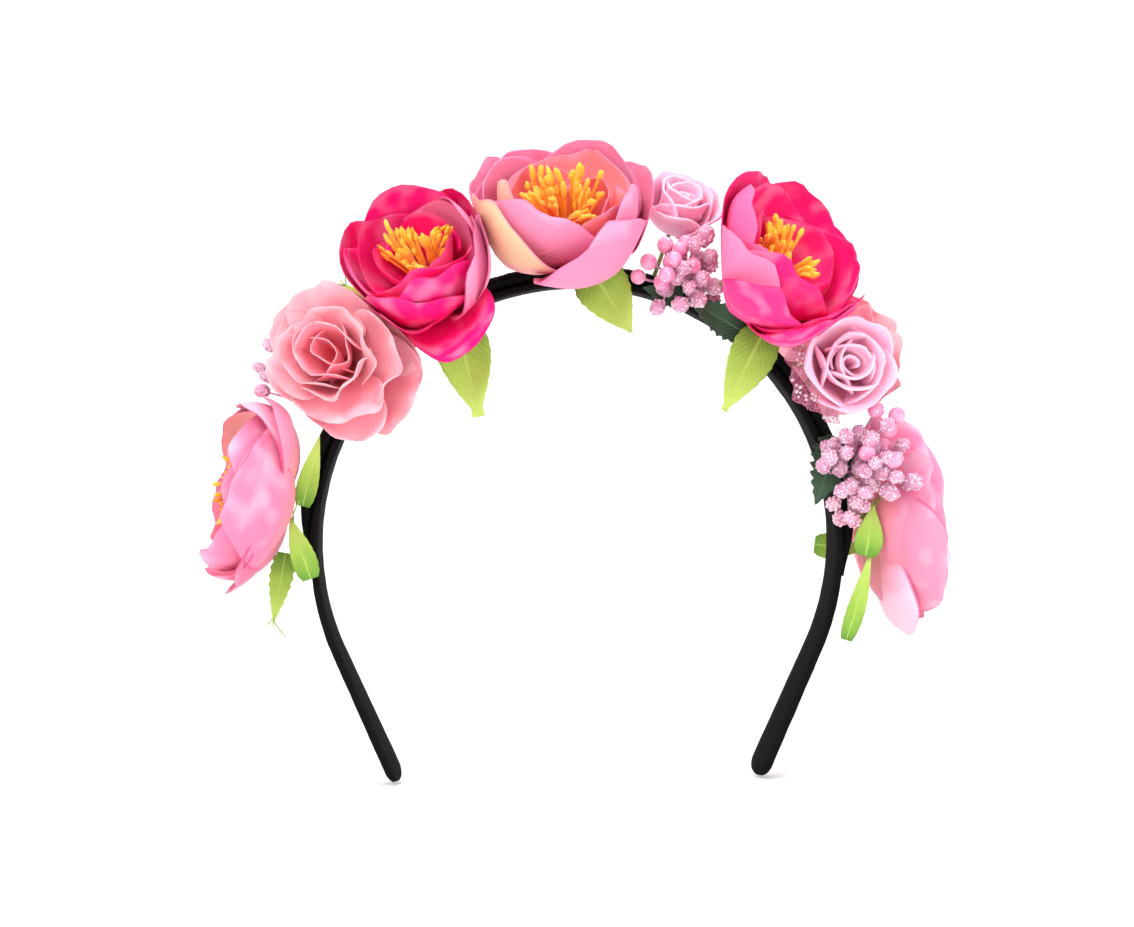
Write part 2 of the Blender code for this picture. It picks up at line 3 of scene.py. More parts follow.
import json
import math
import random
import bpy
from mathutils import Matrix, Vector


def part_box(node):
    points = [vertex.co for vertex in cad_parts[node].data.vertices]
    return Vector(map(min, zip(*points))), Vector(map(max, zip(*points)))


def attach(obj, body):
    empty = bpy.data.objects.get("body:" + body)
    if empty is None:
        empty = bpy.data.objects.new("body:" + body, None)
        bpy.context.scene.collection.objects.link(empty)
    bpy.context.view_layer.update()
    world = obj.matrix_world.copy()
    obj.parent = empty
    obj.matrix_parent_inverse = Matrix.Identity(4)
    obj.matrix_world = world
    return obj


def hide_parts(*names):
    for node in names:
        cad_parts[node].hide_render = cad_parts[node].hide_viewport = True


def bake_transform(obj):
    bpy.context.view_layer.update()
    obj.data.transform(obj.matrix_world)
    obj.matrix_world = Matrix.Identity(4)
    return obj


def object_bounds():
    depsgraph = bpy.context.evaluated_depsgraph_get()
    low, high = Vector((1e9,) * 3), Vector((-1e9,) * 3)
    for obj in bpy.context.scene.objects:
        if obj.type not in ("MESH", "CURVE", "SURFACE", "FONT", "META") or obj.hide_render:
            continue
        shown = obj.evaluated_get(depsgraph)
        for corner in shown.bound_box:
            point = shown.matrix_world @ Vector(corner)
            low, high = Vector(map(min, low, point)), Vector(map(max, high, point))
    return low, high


bl_info = {
    "name": "Flower Crown",
    "version": (1, 0, 0),
    "blender": (4, 5, 0),
    "location": "3D View > Sidebar > Flower Crown",
    "description": "Builds a flower crown of cloth flowers and berries round its frame",
    "category": "Add Mesh",
}

from functools import partial
from typing import NamedTuple

import bmesh
import bpy
from bpy.props import FloatProperty, PointerProperty, StringProperty
from mathutils import Matrix, Vector, noise

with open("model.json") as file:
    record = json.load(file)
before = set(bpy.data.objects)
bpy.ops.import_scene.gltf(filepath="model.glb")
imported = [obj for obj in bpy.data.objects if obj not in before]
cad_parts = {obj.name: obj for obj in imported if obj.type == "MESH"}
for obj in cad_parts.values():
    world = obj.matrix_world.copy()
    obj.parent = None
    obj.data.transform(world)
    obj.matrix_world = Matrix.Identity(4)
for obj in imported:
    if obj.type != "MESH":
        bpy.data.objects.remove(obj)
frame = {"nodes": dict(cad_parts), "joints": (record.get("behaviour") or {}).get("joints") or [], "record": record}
CAD_LOW, CAD_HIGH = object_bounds()
NODES = frame["nodes"]
BODY_OF = {
    node: body
    for body, nodes in frame["record"]["behaviour"]["bodies"].items()
    for node in nodes
}

MM = 0.001
TAU = 2 * math.pi
FRONT = Vector((0, -1, 0))

# The band's own sizes, read from its CAD nodes. The arch's centre is below the seat at the origin.
BAND_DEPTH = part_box("band_cover_crown")[1].z
ARCH_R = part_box("garland_wire_right")[1].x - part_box("garland_wire_crown")[1].z
BAND_HALF_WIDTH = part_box("band_cover_crown")[1].y
ARCH_CENTRE = Vector((0, 0, -ARCH_R))
WIRE_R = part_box("garland_wire_crown")[1].y
WIRE_LINE = ARCH_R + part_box("garland_wire_crown")[1].z - WIRE_R
FLEX = {joint["child"]: Vector(joint["pos_m"]) for joint in frame["joints"]}
TWIST_FROM = 60 * MM
SOFT_ROOM = 5 * MM      # depth over which petals give way to a neighbour
PRESSED_IN = 1.2 * MM   # how far petals may reach past the plane half way to a neighbour
GOLDEN_ANGLE = 2.399963     # spreads points evenly over a ball


# ---- shapes ----

def smooth(low, high, value):
    """0 at low and 1 at high, easing at both ends."""
    share = max(0.0, min(1.0, (value - low) / (high - low)))
    return share * share * (3 - 2 * share)


def ball_template(steps):
    """Points and faces of a round ball of radius 1."""
    shape = bmesh.new()
    bmesh.ops.create_icosphere(shape, subdivisions=steps, radius=1)
    points = [corner.co.copy() for corner in shape.verts]
    faces = [[corner.index for corner in face.verts] for face in shape.faces]
    shape.free()
    return points, faces


GRAIN, BEAD, BERRY = ball_template(1), ball_template(2), ball_template(3)


class Shape:
    """The points, faces and marks of one piece, gathered before they become a mesh.

    A mark holds where a point lies on its petal or leaf: across and along from 0 to 1, the
    sheet's own tint, and how far it is faded. The materials read it.
    """

    def __init__(self, planes=()):
        """planes holds each neighbour's side as a direction and a distance along it."""
        self.points, self.faces, self.marks, self.planes = [], [], [], planes

    def pressed(self, point):
        """Keeps a point off the neighbours, as cloth gives way where it touches them."""
        for way, edge in self.planes:
            depth = point.dot(way) - edge
            if depth < SOFT_ROOM:
                point = point + way * (SOFT_ROOM * math.exp(depth / SOFT_ROOM - 1) - depth)
        return point

    def grid(self, rows, columns, place, tint=0.5, fade=0.0, closed=False):
        """Rows run along the sheet and columns across it, or round a closed and capped one."""
        first, wide = len(self.points), columns + (0 if closed else 1)
        for row in range(rows + 1):
            for column in range(wide):
                across, along = column / columns, row / rows
                self.points.append(self.pressed(place(across * 2 - 1, along)))
                self.marks.append((across, along, tint, fade))
        for row in range(rows):
            for column in range(columns):
                a = first + row * wide + column
                b = first + row * wide + (column + 1) % wide
                self.faces.append((a, b, b + wide, a + wide))
        if closed:
            self.faces.append(tuple(first + side for side in reversed(range(wide))))
            self.faces.append(tuple(first + rows * wide + side for side in range(wide)))

    def tube(self, line, radius, sides=6, tint=0.5):
        """A round wire along points, closed at both ends; radius is a number or a function."""
        at = radius if callable(radius) else (lambda share: radius)
        turns = []
        side = Vector((0, 1, 0.01))
        for index, point in enumerate(line):
            ahead = line[min(index + 1, len(line) - 1)] - line[max(index - 1, 0)]
            side = (side - ahead * (side.dot(ahead) / ahead.length_squared)).normalized()
            turns.append((point, side, ahead.normalized().cross(side)))

        def place(across, along):
            point, x, y = turns[round(along * (len(turns) - 1))]
            angle = across * math.pi
            return point + (x * math.cos(angle) + y * math.sin(angle)) * at(along)

        self.grid(len(line) - 1, sides, place, tint, closed=True)

    def ball(self, centre, size, template=BERRY, turn=None, rough=0.0, tint=0.5):
        """A ball or egg; size is a radius or one for each axis, and rough pushes its skin about."""
        points, faces = template
        first = len(self.points)
        size = Vector((size,) * 3) if isinstance(size, float) else Vector(size)
        for point in points:
            bump = 1 + rough * noise.noise(point * 3.1 + centre * 900)
            place = Vector(a * b for a, b in zip(point, size)) * bump
            self.points.append(centre + (turn @ place if turn else place))
            self.marks.append((0.5, point.z * 0.5 + 0.5, tint, 0.0))
        self.faces += [tuple(first + corner for corner in face) for face in faces]

    def make(self, name, material, nodes=(), body=None, thick=0.0, slot=None):
        """Makes the piece, lets it stand for its CAD nodes and ride on their body."""
        mesh = bpy.data.meshes.new(name)
        mesh.from_pydata(self.points, [], self.faces)
        marks = mesh.attributes.new("mark", "FLOAT_COLOR", "POINT")
        marks.data.foreach_set("color", [number for mark in self.marks for number in mark])
        mesh.materials.append(material)
        mesh.shade_smooth()
        made = bpy.data.objects.new(name, mesh)
        bpy.context.scene.collection.objects.link(made)
        if thick:
            skin = made.modifiers.new("cloth", "SOLIDIFY")
            skin.thickness = thick
            skin.offset = 0
        if nodes:
            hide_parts(*nodes)
        if body is not None or nodes:
            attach(made, body or BODY_OF[nodes[0]])
        return made


def points_of(node):
    """The corners of a CAD node's mesh."""
    return [corner.co.copy() for corner in NODES[node].data.vertices]


def separate_points(node):
    """A node's points without the ones that its mesh repeats."""
    return [Vector(p) for p in {tuple(round(c, 6) for c in point) for point in points_of(node)}]


def mean(points):
    return sum(points, Vector()) / len(points)


def outward_at(point):
    """Straight out of the arch at a point, in the band's plane."""
    line = point - ARCH_CENTRE
    line.y = 0
    return line.normalized()


def along_at(point):
    """Along the band at a point, from the left of the view to its right."""
    outward = outward_at(point)
    return Vector((outward.z, 0, -outward.x))


def bloom_axes(centre, out, foot):
    """Axes at a bloom's centre: X along the band, Z out of the bloom and -Y its front."""
    along = along_at(foot)
    along = (along - out * along.dot(out)).normalized()
    axes = Matrix((along, out.cross(along), out)).transposed().to_4x4()
    return Matrix.Translation(centre) @ axes


def sides_between(flower):
    """A plane between a flower and each neighbour, half way between their CAD solids."""
    own, planes = points_of(flower + "_outer_petals"), []
    for node in NEIGHBOURS[flower]:
        other = points_of(node if node in NODES else node + "_outer_petals")
        way = (mean(own) - mean(other)).normalized()
        edge = (min(p.dot(way) for p in own) + max(p.dot(way) for p in other)) / 2
        planes.append((way, edge - PRESSED_IN))
    return planes


# ---- materials ----

def linear(colour):
    """An sRGB hex colour as linear light."""
    parts = [int(colour[i:i + 2], 16) / 255 for i in (1, 3, 5)]
    return [c / 12.92 if c <= 0.04045 else ((c + 0.055) / 1.055) ** 2.4 for c in parts] + [1]


def add_node(tree, kind, inputs=None, stops=None, **settings):
    """Adds a node. An input is a value, a node for its first output, or a node and an output's
    name; stops are a ramp's colours."""
    made = tree.nodes.new("ShaderNode" + kind)
    for name, value in settings.items():
        setattr(made, name, value)
    if stops:
        while len(made.color_ramp.elements) < len(stops):
            made.color_ramp.elements.new(0.5)
        for element, (place, colour) in zip(made.color_ramp.elements, stops):
            element.position = place
            element.color = linear(colour)
    for name, value in (inputs or {}).items():
        node, output = value if isinstance(value, tuple) else (value, 0)
        if isinstance(node, bpy.types.Node):
            tree.links.new(node.outputs[output], made.inputs[name])
        else:
            made.inputs[name].default_value = value
    return made


def start_material(name, **sockets):
    """A Principled material with its constant sockets set, a short way to add its nodes, and
    the object's own coordinates."""
    made = bpy.data.materials.new(name)
    made.use_nodes = True
    shader = made.node_tree.nodes["Principled BSDF"]
    for socket, value in sockets.items():
        shader.inputs[socket.replace("_", " ")].default_value = value
    add = partial(add_node, made.node_tree)
    return made, add, (add("TexCoord"), "Object")


def read_marks(add):
    """Where a point lies: Red across, Green along and Blue tint; the mark's Alpha is its fade."""
    mark = add("Attribute", attribute_name="mark")
    return mark, add("SeparateColor", {"Color": mark})


def finish_material(made, add, colour, height, strength, depth_mm):
    """Gives the shader its colour, and its relief from a height."""
    links, shader = made.node_tree.links, made.node_tree.nodes["Principled BSDF"]
    bump = add("Bump", {"Height": height, "Strength": strength, "Distance": depth_mm * MM})
    links.new(colour.outputs[2 if colour.bl_idname == "ShaderNodeMix" else 0],
              shader.inputs["Base Color"])
    links.new(bump.outputs[0], shader.inputs["Normal"])
    return made


def satin_petal(name, foot, body, rim, faded, edge, edge_from=0.9, patches=0.0):
    """Printed polyester satin, die-cut and heat-formed: soft sheen, dye deeper at the foot, a
    thin darker line where the hot die sealed the edge, faint ribs along the petal."""
    made, add, place = start_material(
        name, Roughness=0.6, Sheen_Weight=0.12, Sheen_Roughness=0.4, Sheen_Tint=linear(rim),
        Specular_IOR_Level=0.25, Subsurface_Weight=0.15, Subsurface_Scale=0.002)
    mark, parts = read_marks(add)
    # Dye runs in patches of about 6 mm.
    dye = add("TexNoise", {"Vector": place, "Scale": 1 / (6 * MM), "Detail": 0.6,
                           "Roughness": 0.5})
    drift = add("Math", {0: dye, 1: 0.34}, operation="MULTIPLY")
    reach = add("Math", {0: (parts, "Green"), 1: drift}, operation="ADD")
    lower = add("Math", {0: reach, 1: 0.17}, operation="SUBTRACT")
    cloth = add("ValToRGB", {"Fac": lower}, stops=[
        (0.0, foot), (0.42, body), (0.8, body), (1.0, rim)])
    # The fade lies between the foot and the rim, and its outline wanders.
    bell = add("MapRange", {"Value": lower, "From Min": 0.15, "From Max": 0.6},
               interpolation_type="SMOOTHSTEP")
    patch = add("MapRange", {"Value": dye, "From Min": 0.42, "From Max": 0.8, "To Max": patches},
                interpolation_type="SMOOTHSTEP")
    most = add("Math", {0: (mark, "Alpha"), 1: patch}, operation="MAXIMUM")
    wash = add("Math", {0: most, 1: bell}, operation="MULTIPLY")
    pale = add("Mix", {0: wash, 6: cloth, 7: linear(faded)}, data_type="RGBA")
    # Distance from the sides: 1 at the sealed edge.
    side = add("Math", {0: (parts, "Red"), 1: 0.5}, operation="SUBTRACT")
    away = add("Math", {0: side}, operation="ABSOLUTE")
    wide = add("Math", {0: away, 1: 2.0}, operation="MULTIPLY")
    rim_at = add("Math", {0: wide, 1: (parts, "Green")}, operation="MAXIMUM")
    sealed = add("MapRange", {"Value": rim_at, "From Min": edge_from, "To Max": 0.75},
                 interpolation_type="SMOOTHSTEP")
    edged = add("Mix", {0: sealed, 6: (pale, 2), 7: linear(edge)}, data_type="RGBA")
    tone = add("MapRange", {"Value": (parts, "Blue"), "To Min": 0.82, "To Max": 1.1})
    dyed = add("HueSaturation", {"Color": (edged, 2), "Value": tone})
    # Pressed ribs run along the petal, about 2 mm apart, over threads drawn at 0.5 mm.
    ribs = add("Math", {0: (parts, "Red"), 1: 120.0}, operation="MULTIPLY")
    wave = add("Math", {0: ribs}, operation="SINE")
    threads = add("TexNoise", {"Vector": place, "Scale": 1 / (0.5 * MM), "Detail": 1.0})
    rough = add("Math", {0: wave, 1: 0.25, 2: threads}, operation="MULTIPLY_ADD")
    return finish_material(made, add, dyed, rough, 0.22, 0.1)


def ribbed_leaf(name, deep, body, tip, vein):
    """Ribbed polyester cloth, die-cut, veins pressed in: matt, pale veins, yellower tip."""
    made, add, place = start_material(
        name, Roughness=0.7, Sheen_Weight=0.05, Specular_IOR_Level=0.2,
        Subsurface_Weight=0.06, Subsurface_Scale=0.001)
    parts = read_marks(add)[1]
    dye = add("TexNoise", {"Vector": place, "Scale": 1 / (4 * MM), "Detail": 3.0})
    reach = add("Math", {0: dye, 1: 0.4, 2: (parts, "Green")}, operation="MULTIPLY_ADD")
    lower = add("Math", {0: reach, 1: 0.2}, operation="SUBTRACT")
    cloth = add("ValToRGB", {"Fac": lower}, stops=[(0.0, deep), (0.4, body), (1.0, tip)])
    side = add("Math", {0: (parts, "Red"), 1: 0.5}, operation="SUBTRACT")
    wide = add("Math", {0: side}, operation="ABSOLUTE")
    # Side veins rise towards the tip, about 2 mm apart.
    slope = add("Math", {0: wide, 1: -0.75, 2: (parts, "Green")}, operation="MULTIPLY_ADD")
    turns = add("Math", {0: slope, 1: TAU * 11}, operation="MULTIPLY")
    wave = add("Math", {0: turns}, operation="SINE")
    veins = add("MapRange", {"Value": wave, "From Min": 0.72, "To Max": 0.45})
    middle = add("MapRange", {"Value": wide, "From Min": 0.05, "From Max": 0.015, "To Max": 0.8})
    lines = add("Math", {0: veins, 1: middle}, operation="MAXIMUM")
    veined = add("Mix", {0: lines, 6: cloth, 7: linear(vein)}, data_type="RGBA")
    # The cloth's ribs run across the leaf, drawn 0.7 mm apart.
    weave = add("Math", {0: (parts, "Green"), 1: TAU * 34}, operation="MULTIPLY")
    ribs = add("Math", {0: weave}, operation="SINE")
    height = add("Math", {0: ribs, 1: 0.3, 2: lines}, operation="MULTIPLY_ADD")
    return finish_material(made, add, veined, height, 0.45, 0.2)


def flocked_thread():
    """Starched thread dipped in flock: orange shafts, yellow fluffy heads."""
    made, add, place = start_material(
        "flocked_thread", Roughness=0.75, Sheen_Weight=0.3, Subsurface_Weight=0.1,
        Subsurface_Scale=0.001)
    ramp = add("ValToRGB", {"Fac": (read_marks(add)[1], "Blue")}, stops=[
        (0.0, "#F88A04"), (0.55, "#FFA608"), (1.0, "#FFC030")])
    fluff = add("TexNoise", {"Vector": place, "Scale": 1 / (0.4 * MM), "Detail": 2.0})
    tone = add("MapRange", {"Value": fluff, "To Min": 0.85, "To Max": 1.2})
    dyed = add("HueSaturation", {"Color": ramp, "Value": tone})
    return finish_material(made, add, dyed, fluff, 0.6, 0.15)


def grained_berry(name, low, high, grain, grain_mm, roughness, coat, cover):
    """A dyed foam ball under lacquer, sugar or beads: grains of grain_mm over a mottled skin."""
    made, add, place = start_material(
        name, Roughness=roughness, Coat_Weight=coat, Coat_Roughness=0.12,
        Subsurface_Weight=0.15, Subsurface_Scale=0.002)
    mottle = add("TexNoise", {"Vector": place, "Scale": 1 / (3 * MM), "Detail": 2.0})
    skin = add("ValToRGB", {"Fac": mottle}, stops=[(0.35, low), (0.65, high)])
    cells = add("TexVoronoi", {"Vector": place, "Scale": 1 / (grain_mm * MM)})
    picked = add("SeparateColor", {"Color": (cells, "Color")})
    shown = add("MapRange", {"Value": picked, "From Min": 1 - cover, "From Max": 1.05 - cover})
    heaped = add("MapRange", {"Value": cells, "From Min": 0.55, "From Max": 0.2})
    grains = add("Math", {0: shown, 1: heaped}, operation="MULTIPLY")
    # The tint of a loose grain is high.
    loose = add("MapRange", {"Value": (read_marks(add)[1], "Blue"), "From Min": 0.75,
                             "From Max": 0.85, "To Max": 0.7})
    white = add("Math", {0: grains, 1: loose}, operation="MAXIMUM")
    sugared = add("Mix", {0: white, 6: skin, 7: linear(grain)}, data_type="RGBA")
    return finish_material(made, add, sugared, grains, 0.5, 0.15)


def foam_sheet():
    """Closed-cell foam sheet, rolled by hand: chalky, with painted shade that darkens it in the folds, pores of
    0.4 mm.
    """
    made, add, place = start_material(
        "foam_sheet", Roughness=0.6, Specular_IOR_Level=0.35, Sheen_Weight=0.2,
        Subsurface_Weight=0.25, Subsurface_Scale=0.002)
    # Painted shade: a darker pink at the foot of each petal and of the rolled heart, where shade falls, paling
    # towards the rim.
    ramp = add("ValToRGB", {"Fac": (read_marks(add)[1], "Green")}, stops=[
        (0.0, "#FA98BE"), (0.4, "#FDB8D4"), (1.0, "#FEC4DA")])
    pores = add("TexVoronoi", {"Vector": place, "Scale": 1 / (0.4 * MM)})
    return finish_material(made, add, ramp, pores, 0.25, 0.08)


def mottled(name, stops, grain_mm, detail, strength, depth_mm, **sockets):
    """A surface whose colour and relief follow one noise with grains of grain_mm."""
    made, add, place = start_material(name, **sockets)
    grain = add("TexNoise", {"Vector": place, "Scale": 1 / (grain_mm * MM), "Detail": detail})
    skin = add("ValToRGB", {"Fac": grain}, stops=stops)
    return finish_material(made, add, skin, grain, strength, depth_mm)


def woven_cover(name, colour, thread_mm, sheen, light):
    """Tightly woven cloth or crepe paper: matt, with threads drawn at thread_mm."""
    return mottled(name, [(0.3, colour), (0.75, light)], thread_mm, 2.0, 0.5, 0.12,
                   Roughness=0.8, Sheen_Weight=sheen, Sheen_Roughness=0.35,
                   Specular_IOR_Level=0.1)


def moulded_green():
    """Soft polyethylene, moulded: waxy, with a paler bloom."""
    return mottled("moulded_polyethylene_green", [(0.3, "#5E8A32"), (0.7, "#8DB650")], 2, 3.0,
                   0.2, 0.1, Roughness=0.45, Subsurface_Weight=0.15, Subsurface_Scale=0.002)


def moulded_core():
    """ABS, moulded: black and satin, faintly mottled where it flowed in the mould."""
    return mottled("moulded_abs_black", [(0.3, "#101011"), (0.7, "#1A1A1C")], 4, 2.0, 0.1, 0.1,
                   Roughness=0.4)


def sheer_tulle():
    """Nylon net: threads every 0.9 mm let the light through between them."""
    made, add, place = start_material(
        "sheer_nylon_tulle", Roughness=0.5, Sheen_Weight=0.4, Base_Color=linear("#C47C9A"))
    net = add("TexVoronoi", {"Vector": place, "Scale": 1 / (0.9 * MM)},
              feature="DISTANCE_TO_EDGE")
    threads = add("MapRange", {"Value": net, "From Min": 0.05, "From Max": 0.16,
                               "To Min": 0.95, "To Max": 0.4})
    tree = made.node_tree
    tree.links.new(threads.outputs[0], tree.nodes["Principled BSDF"].inputs["Alpha"])
    return made


# ---- petals ----

def flower_axes(calyx, head, rings):
    """A flower's axes at the foot of its petals, and its reach along and across the band."""
    foot = mean(separate_points(calyx))
    out = (mean(separate_points(head)) - foot).normalized()
    origin = foot + out * max((point - foot).dot(out) for point in points_of(calyx))
    axes = bloom_axes(origin, out, foot)
    return axes, *(max(abs((point - origin).dot(axes.col[column].xyz))
                       for point in points_of(rings)) for column in (0, 1))


def petal(shape, axes, turn, length, width, foot, lean, cup=1.0, ruffle=0.0, seed=0,
          squeeze=1.0, fade=0.0, skew=0.1, rows=18, columns=14, roll=0.0):
    """One petal. foot is its radius and height, lean its angle from the flower's axis at the
    foot and at the rim. cup wraps it round the axis, and roll curls its rim back."""
    random_of = random.Random(seed)
    phase, second = random_of.uniform(0, TAU), random_of.uniform(0, TAU)
    tint = random_of.random()
    radial = Vector((math.cos(turn), math.sin(turn), 0))
    side = Vector((-math.sin(turn), math.cos(turn), 0))
    steps, radius, height = 24, foot[0], foot[1]
    spine = []
    for step in range(steps + 4):
        share = step / steps
        angle = math.radians(lean[0] + (lean[1] - lean[0]) * share + roll * smooth(0.75, 1, share))
        spine.append((radius, height, angle))
        radius += math.sin(angle) * length / steps
        height += math.cos(angle) * length / steps

    def place(across, along):
        along = 1 - (1 - along) ** 1.5
        # The outline widens over most of the petal's length, then rounds off to its rim.
        past = min(1, max(0, (along - 0.58) / 0.42))
        girth = (0.22 + 0.78 * math.sin(math.pi / 2 * min(1, along / 0.60))) \
            * max(0.12, (1 - past ** 2.8) ** 0.5)
        across *= girth
        notch = 0.040 * math.sin(across * 4 + phase) + 0.020 * math.sin(across * 9 + second)
        reach = along * (1 + notch * along ** 4)
        step = min(max(reach, 0) * steps, steps + 2)
        low = int(step)
        part = step - low
        ring, rise, angle = (a + (b - a) * part for a, b in zip(spine[low], spine[low + 1]))
        over = width / 2 * across
        wrap = cup * over * over / (2 * max(ring, width * 0.40))
        wave = math.sin(across * 4.2 + phase) * 0.6 + math.sin(across * 8.5 + second) * 0.4
        edge = along ** 3 * (0.35 + 0.65 * across * across)
        lift = wrap + skew * over + ruffle * wave * edge
        ahead = radial * math.sin(angle) + Vector((0, 0, math.cos(angle)))
        inner = Vector((0, 0, math.sin(angle))) - radial * math.cos(angle)
        point = radial * ring + Vector((0, 0, rise)) + side * over + inner * lift
        point += ahead * (-0.25 * abs(wrap))
        point.x *= squeeze
        return axes @ point

    shape.grid(rows, columns, place, tint, fade)


def fade_for(turn, toward, spread, amount):
    """How faded a petal is: most where it points toward one side of its flower."""
    away = abs((turn - math.radians(toward) + math.pi) % TAU - math.pi)
    return amount * smooth(math.radians(spread), 0, away)


class Ring(NamedTuple):
    """A ring of like petals. Sizes are shares of the flower's radius, angles are in degrees."""
    count: int
    length: float
    width: float
    foot: float         # radius of the petals' feet
    rise: float         # height of their feet
    lean: tuple         # angle from the flower's axis at the foot and at the rim
    cup: float          # how far a petal wraps round the axis
    ruffle: float       # height of the waves along its edge
    roll: float = 0.0   # curl of its rim
    wild: float = 1.0   # how uneven the ring is


def rings_of_petals(shape, axes, start, step, radius, rings, flower, seed):
    """Rings from the outside in, each turned step degrees on, with no two petals the same."""
    for level, ring in enumerate(rings):
        random_of = random.Random(seed + level)
        first, wild = math.radians(start + level * step), ring.wild
        for index in range(ring.count):
            turn = first + TAU * index / ring.count + random_of.uniform(-0.09, 0.09) * wild
            back = max(0.0, math.sin(turn))
            lean = (ring.lean[0] + random_of.uniform(-3, 3) * wild,
                    ring.lean[1] + random_of.uniform(-7, 7) * wild + flower["open"] * back)
            length = radius * ring.length * (1 + random_of.uniform(-0.06, 0.06) * wild)
            width = radius * ring.width * random_of.uniform(0.95, 1.07)
            petal(shape, axes, turn, length, width, (radius * ring.foot, radius * ring.rise),
                  lean, ring.cup, radius * ring.ruffle, (seed + level) * 31 + index,
                  flower["squeeze"], fade_for(turn, *flower["fade"]), roll=ring.roll)


# The petals of a peony close over its cup like the walls of a bowl.
PEONY_OUTER = (
    Ring(4, 1.60, 1.72, 0.08, -0.04, (112, -26), 0.9, 0.05),
    Ring(4, 1.50, 1.56, 0.07, 0.02, (104, -34), 0.95, 0.04),
)
PEONY_CUP = (
    Ring(3, 1.22, 1.50, 0.07, 0.08, (94, -22), 1.0, 0.025),
    Ring(3, 0.92, 1.16, 0.07, 0.11, (80, -16), 1.05, 0.025),
)

# Pieces that press on each flower's petals: other flowers, and nodes by their own names.
NEIGHBOURS = {
    "peony_left": ("rose_left", "berry_pick_left"),
    "rose_left": ("peony_left", "peony_upper_left"),
    "peony_upper_left": ("rose_left", "peony_top"),
    "peony_top": ("peony_upper_left", "foam_rose_top_petals", "berry_sugared_top",
                  "berry_pearls_top"),
    "peony_upper_right": ("foam_rose_top_petals", "berry_sugared_top", "berry_beaded_top",
                          "foam_rose_right_petals", "rose_right"),
    "rose_right": ("peony_upper_right", "peony_right", "foam_rose_right_petals"),
    "peony_right": ("rose_right", "berry_pearls_right", "berry_sugared_right"),
}

# start: turn of the first petal. fade: side, spread and amount of the washed-out petals, in
# degrees from the band's line. open: how far the back petals stand open, in degrees. guards:
# loose outer petals, each with its turn, its lean at the rim, and its length and width against
# the flower's radius.
PEONIES = {
    "peony_left": dict(
        start=-96, fade=(20, 70, 0.9), open=6, dye="side", stamens=60, grow=0.95,
        tall=1.12, guards=((-168, 26, 1.40, 1.5), (-96, -6, 1.50, 1.5), (-24, 34, 1.50, 1.4))),
    "peony_upper_left": dict(
        start=-128, fade=(-22, 62, 1.0), open=16, dye="hot", stamens=76, grow=0.94,
        tall=1.1, guards=((-100, 60, 1.66, 1.5), (-148, 34, 1.5, 1.3), (-30, 0, 1.6, 1.3))),
    "peony_top": dict(
        start=-66, fade=(-166, 46, 0.9), open=34, dye="light", stamens=84, grow=1.02,
        tall=1.15, guards=((62, 30, 1.5, 1.5), (128, 32, 1.48, 1.4))),
    "peony_upper_right": dict(
        start=-118, fade=(-136, 52, 0.85), open=18, dye="hot", stamens=64, grow=0.98,
        tall=1.0, guards=((-92, 6, 1.60, 1.3), (-40, 4, 1.56, 1.4), (140, 12, 1.5, 1.3))),
    "peony_right": dict(
        start=-70, fade=(-20, 62, 0.95), open=4, dye="side", stamens=40, grow=1.0,
        tall=1.0, guards=((-112, 34, 1.34, 1.3), (-62, 22, 1.50, 1.4), (-12, 38, 1.38, 1.2))),
}

ROSE_OUTER = (
    Ring(5, 1.12, 1.40, 0.08, -0.05, (88, 66), 0.3, 0.34, 16, 1.6),
    Ring(4, 0.98, 1.36, 0.07, 0.05, (80, 40), 0.5, 0.36, 30, 2.0),
    Ring(4, 0.84, 1.14, 0.06, 0.10, (66, 16), 0.8, 0.30, 40, 2.0),
)
ROSE_HEART = (
    Ring(3, 0.70, 0.98, 0.05, 0.13, (50, -4), 1.1, 0.20, 34, 1.6),
    Ring(2, 0.56, 0.74, 0.03, 0.16, (30, -12), 1.6, 0.10, 20),
)
ROSES = {
    "rose_left": dict(start=-80, grow=1.0, fade=(0, 60, 0.5), open=0),
    "rose_right": dict(start=35, grow=1.1, fade=(0, 60, 0.5), open=0),
}

FOAM_OUTER = (
    Ring(3, 1.62, 2.2, 0.16, -0.66, (64, 6), 0.95, 0.03, 52),
    Ring(3, 1.46, 1.9, 0.12, -0.52, (50, -8), 1.0, 0.03, 46),
    Ring(3, 1.26, 1.4, 0.08, -0.36, (34, -8), 1.1, 0.02, 30),
)
FOAM_ROSES = ("foam_rose_top", "foam_rose_right")
FOAM_GROW = 1.08        # the curled rims reach a little past the CAD solid


def petal_dyes():
    """One satin for the outside and one for the cup of each kind of peony."""
    return {
        "light": (
            satin_petal("satin_light_pink", "#EA708E", "#F088AE", "#F8A8C8", "#F6D49C", "#EA78A6"),
            satin_petal("satin_salmon", "#F4584A", "#F4787C", "#F89CB4", "#F8B8A0", "#F080A4")),
        "hot": (
            satin_petal("satin_hot_pink", "#EC0A6C", "#FA107E", "#F23488", "#F8A4C8", "#C80C5A",
                        0.94, 0.5),
            satin_petal("satin_deep_pink", "#E00A60", "#F60C70", "#F44C94", "#F8A4C8", "#C80C5A",
                        0.94, 0.3)),
        "side": (
            satin_petal("satin_shell_pink", "#F4988C", "#F280A6", "#F8A4C2", "#F0C2D4", "#E44882",
                        0.93, 0.5),
            satin_petal("satin_rose_pink", "#FA8C80", "#F67C9E", "#FA98B8", "#FBC0B0", "#E44882",
                        0.93, 0.3)),
    }


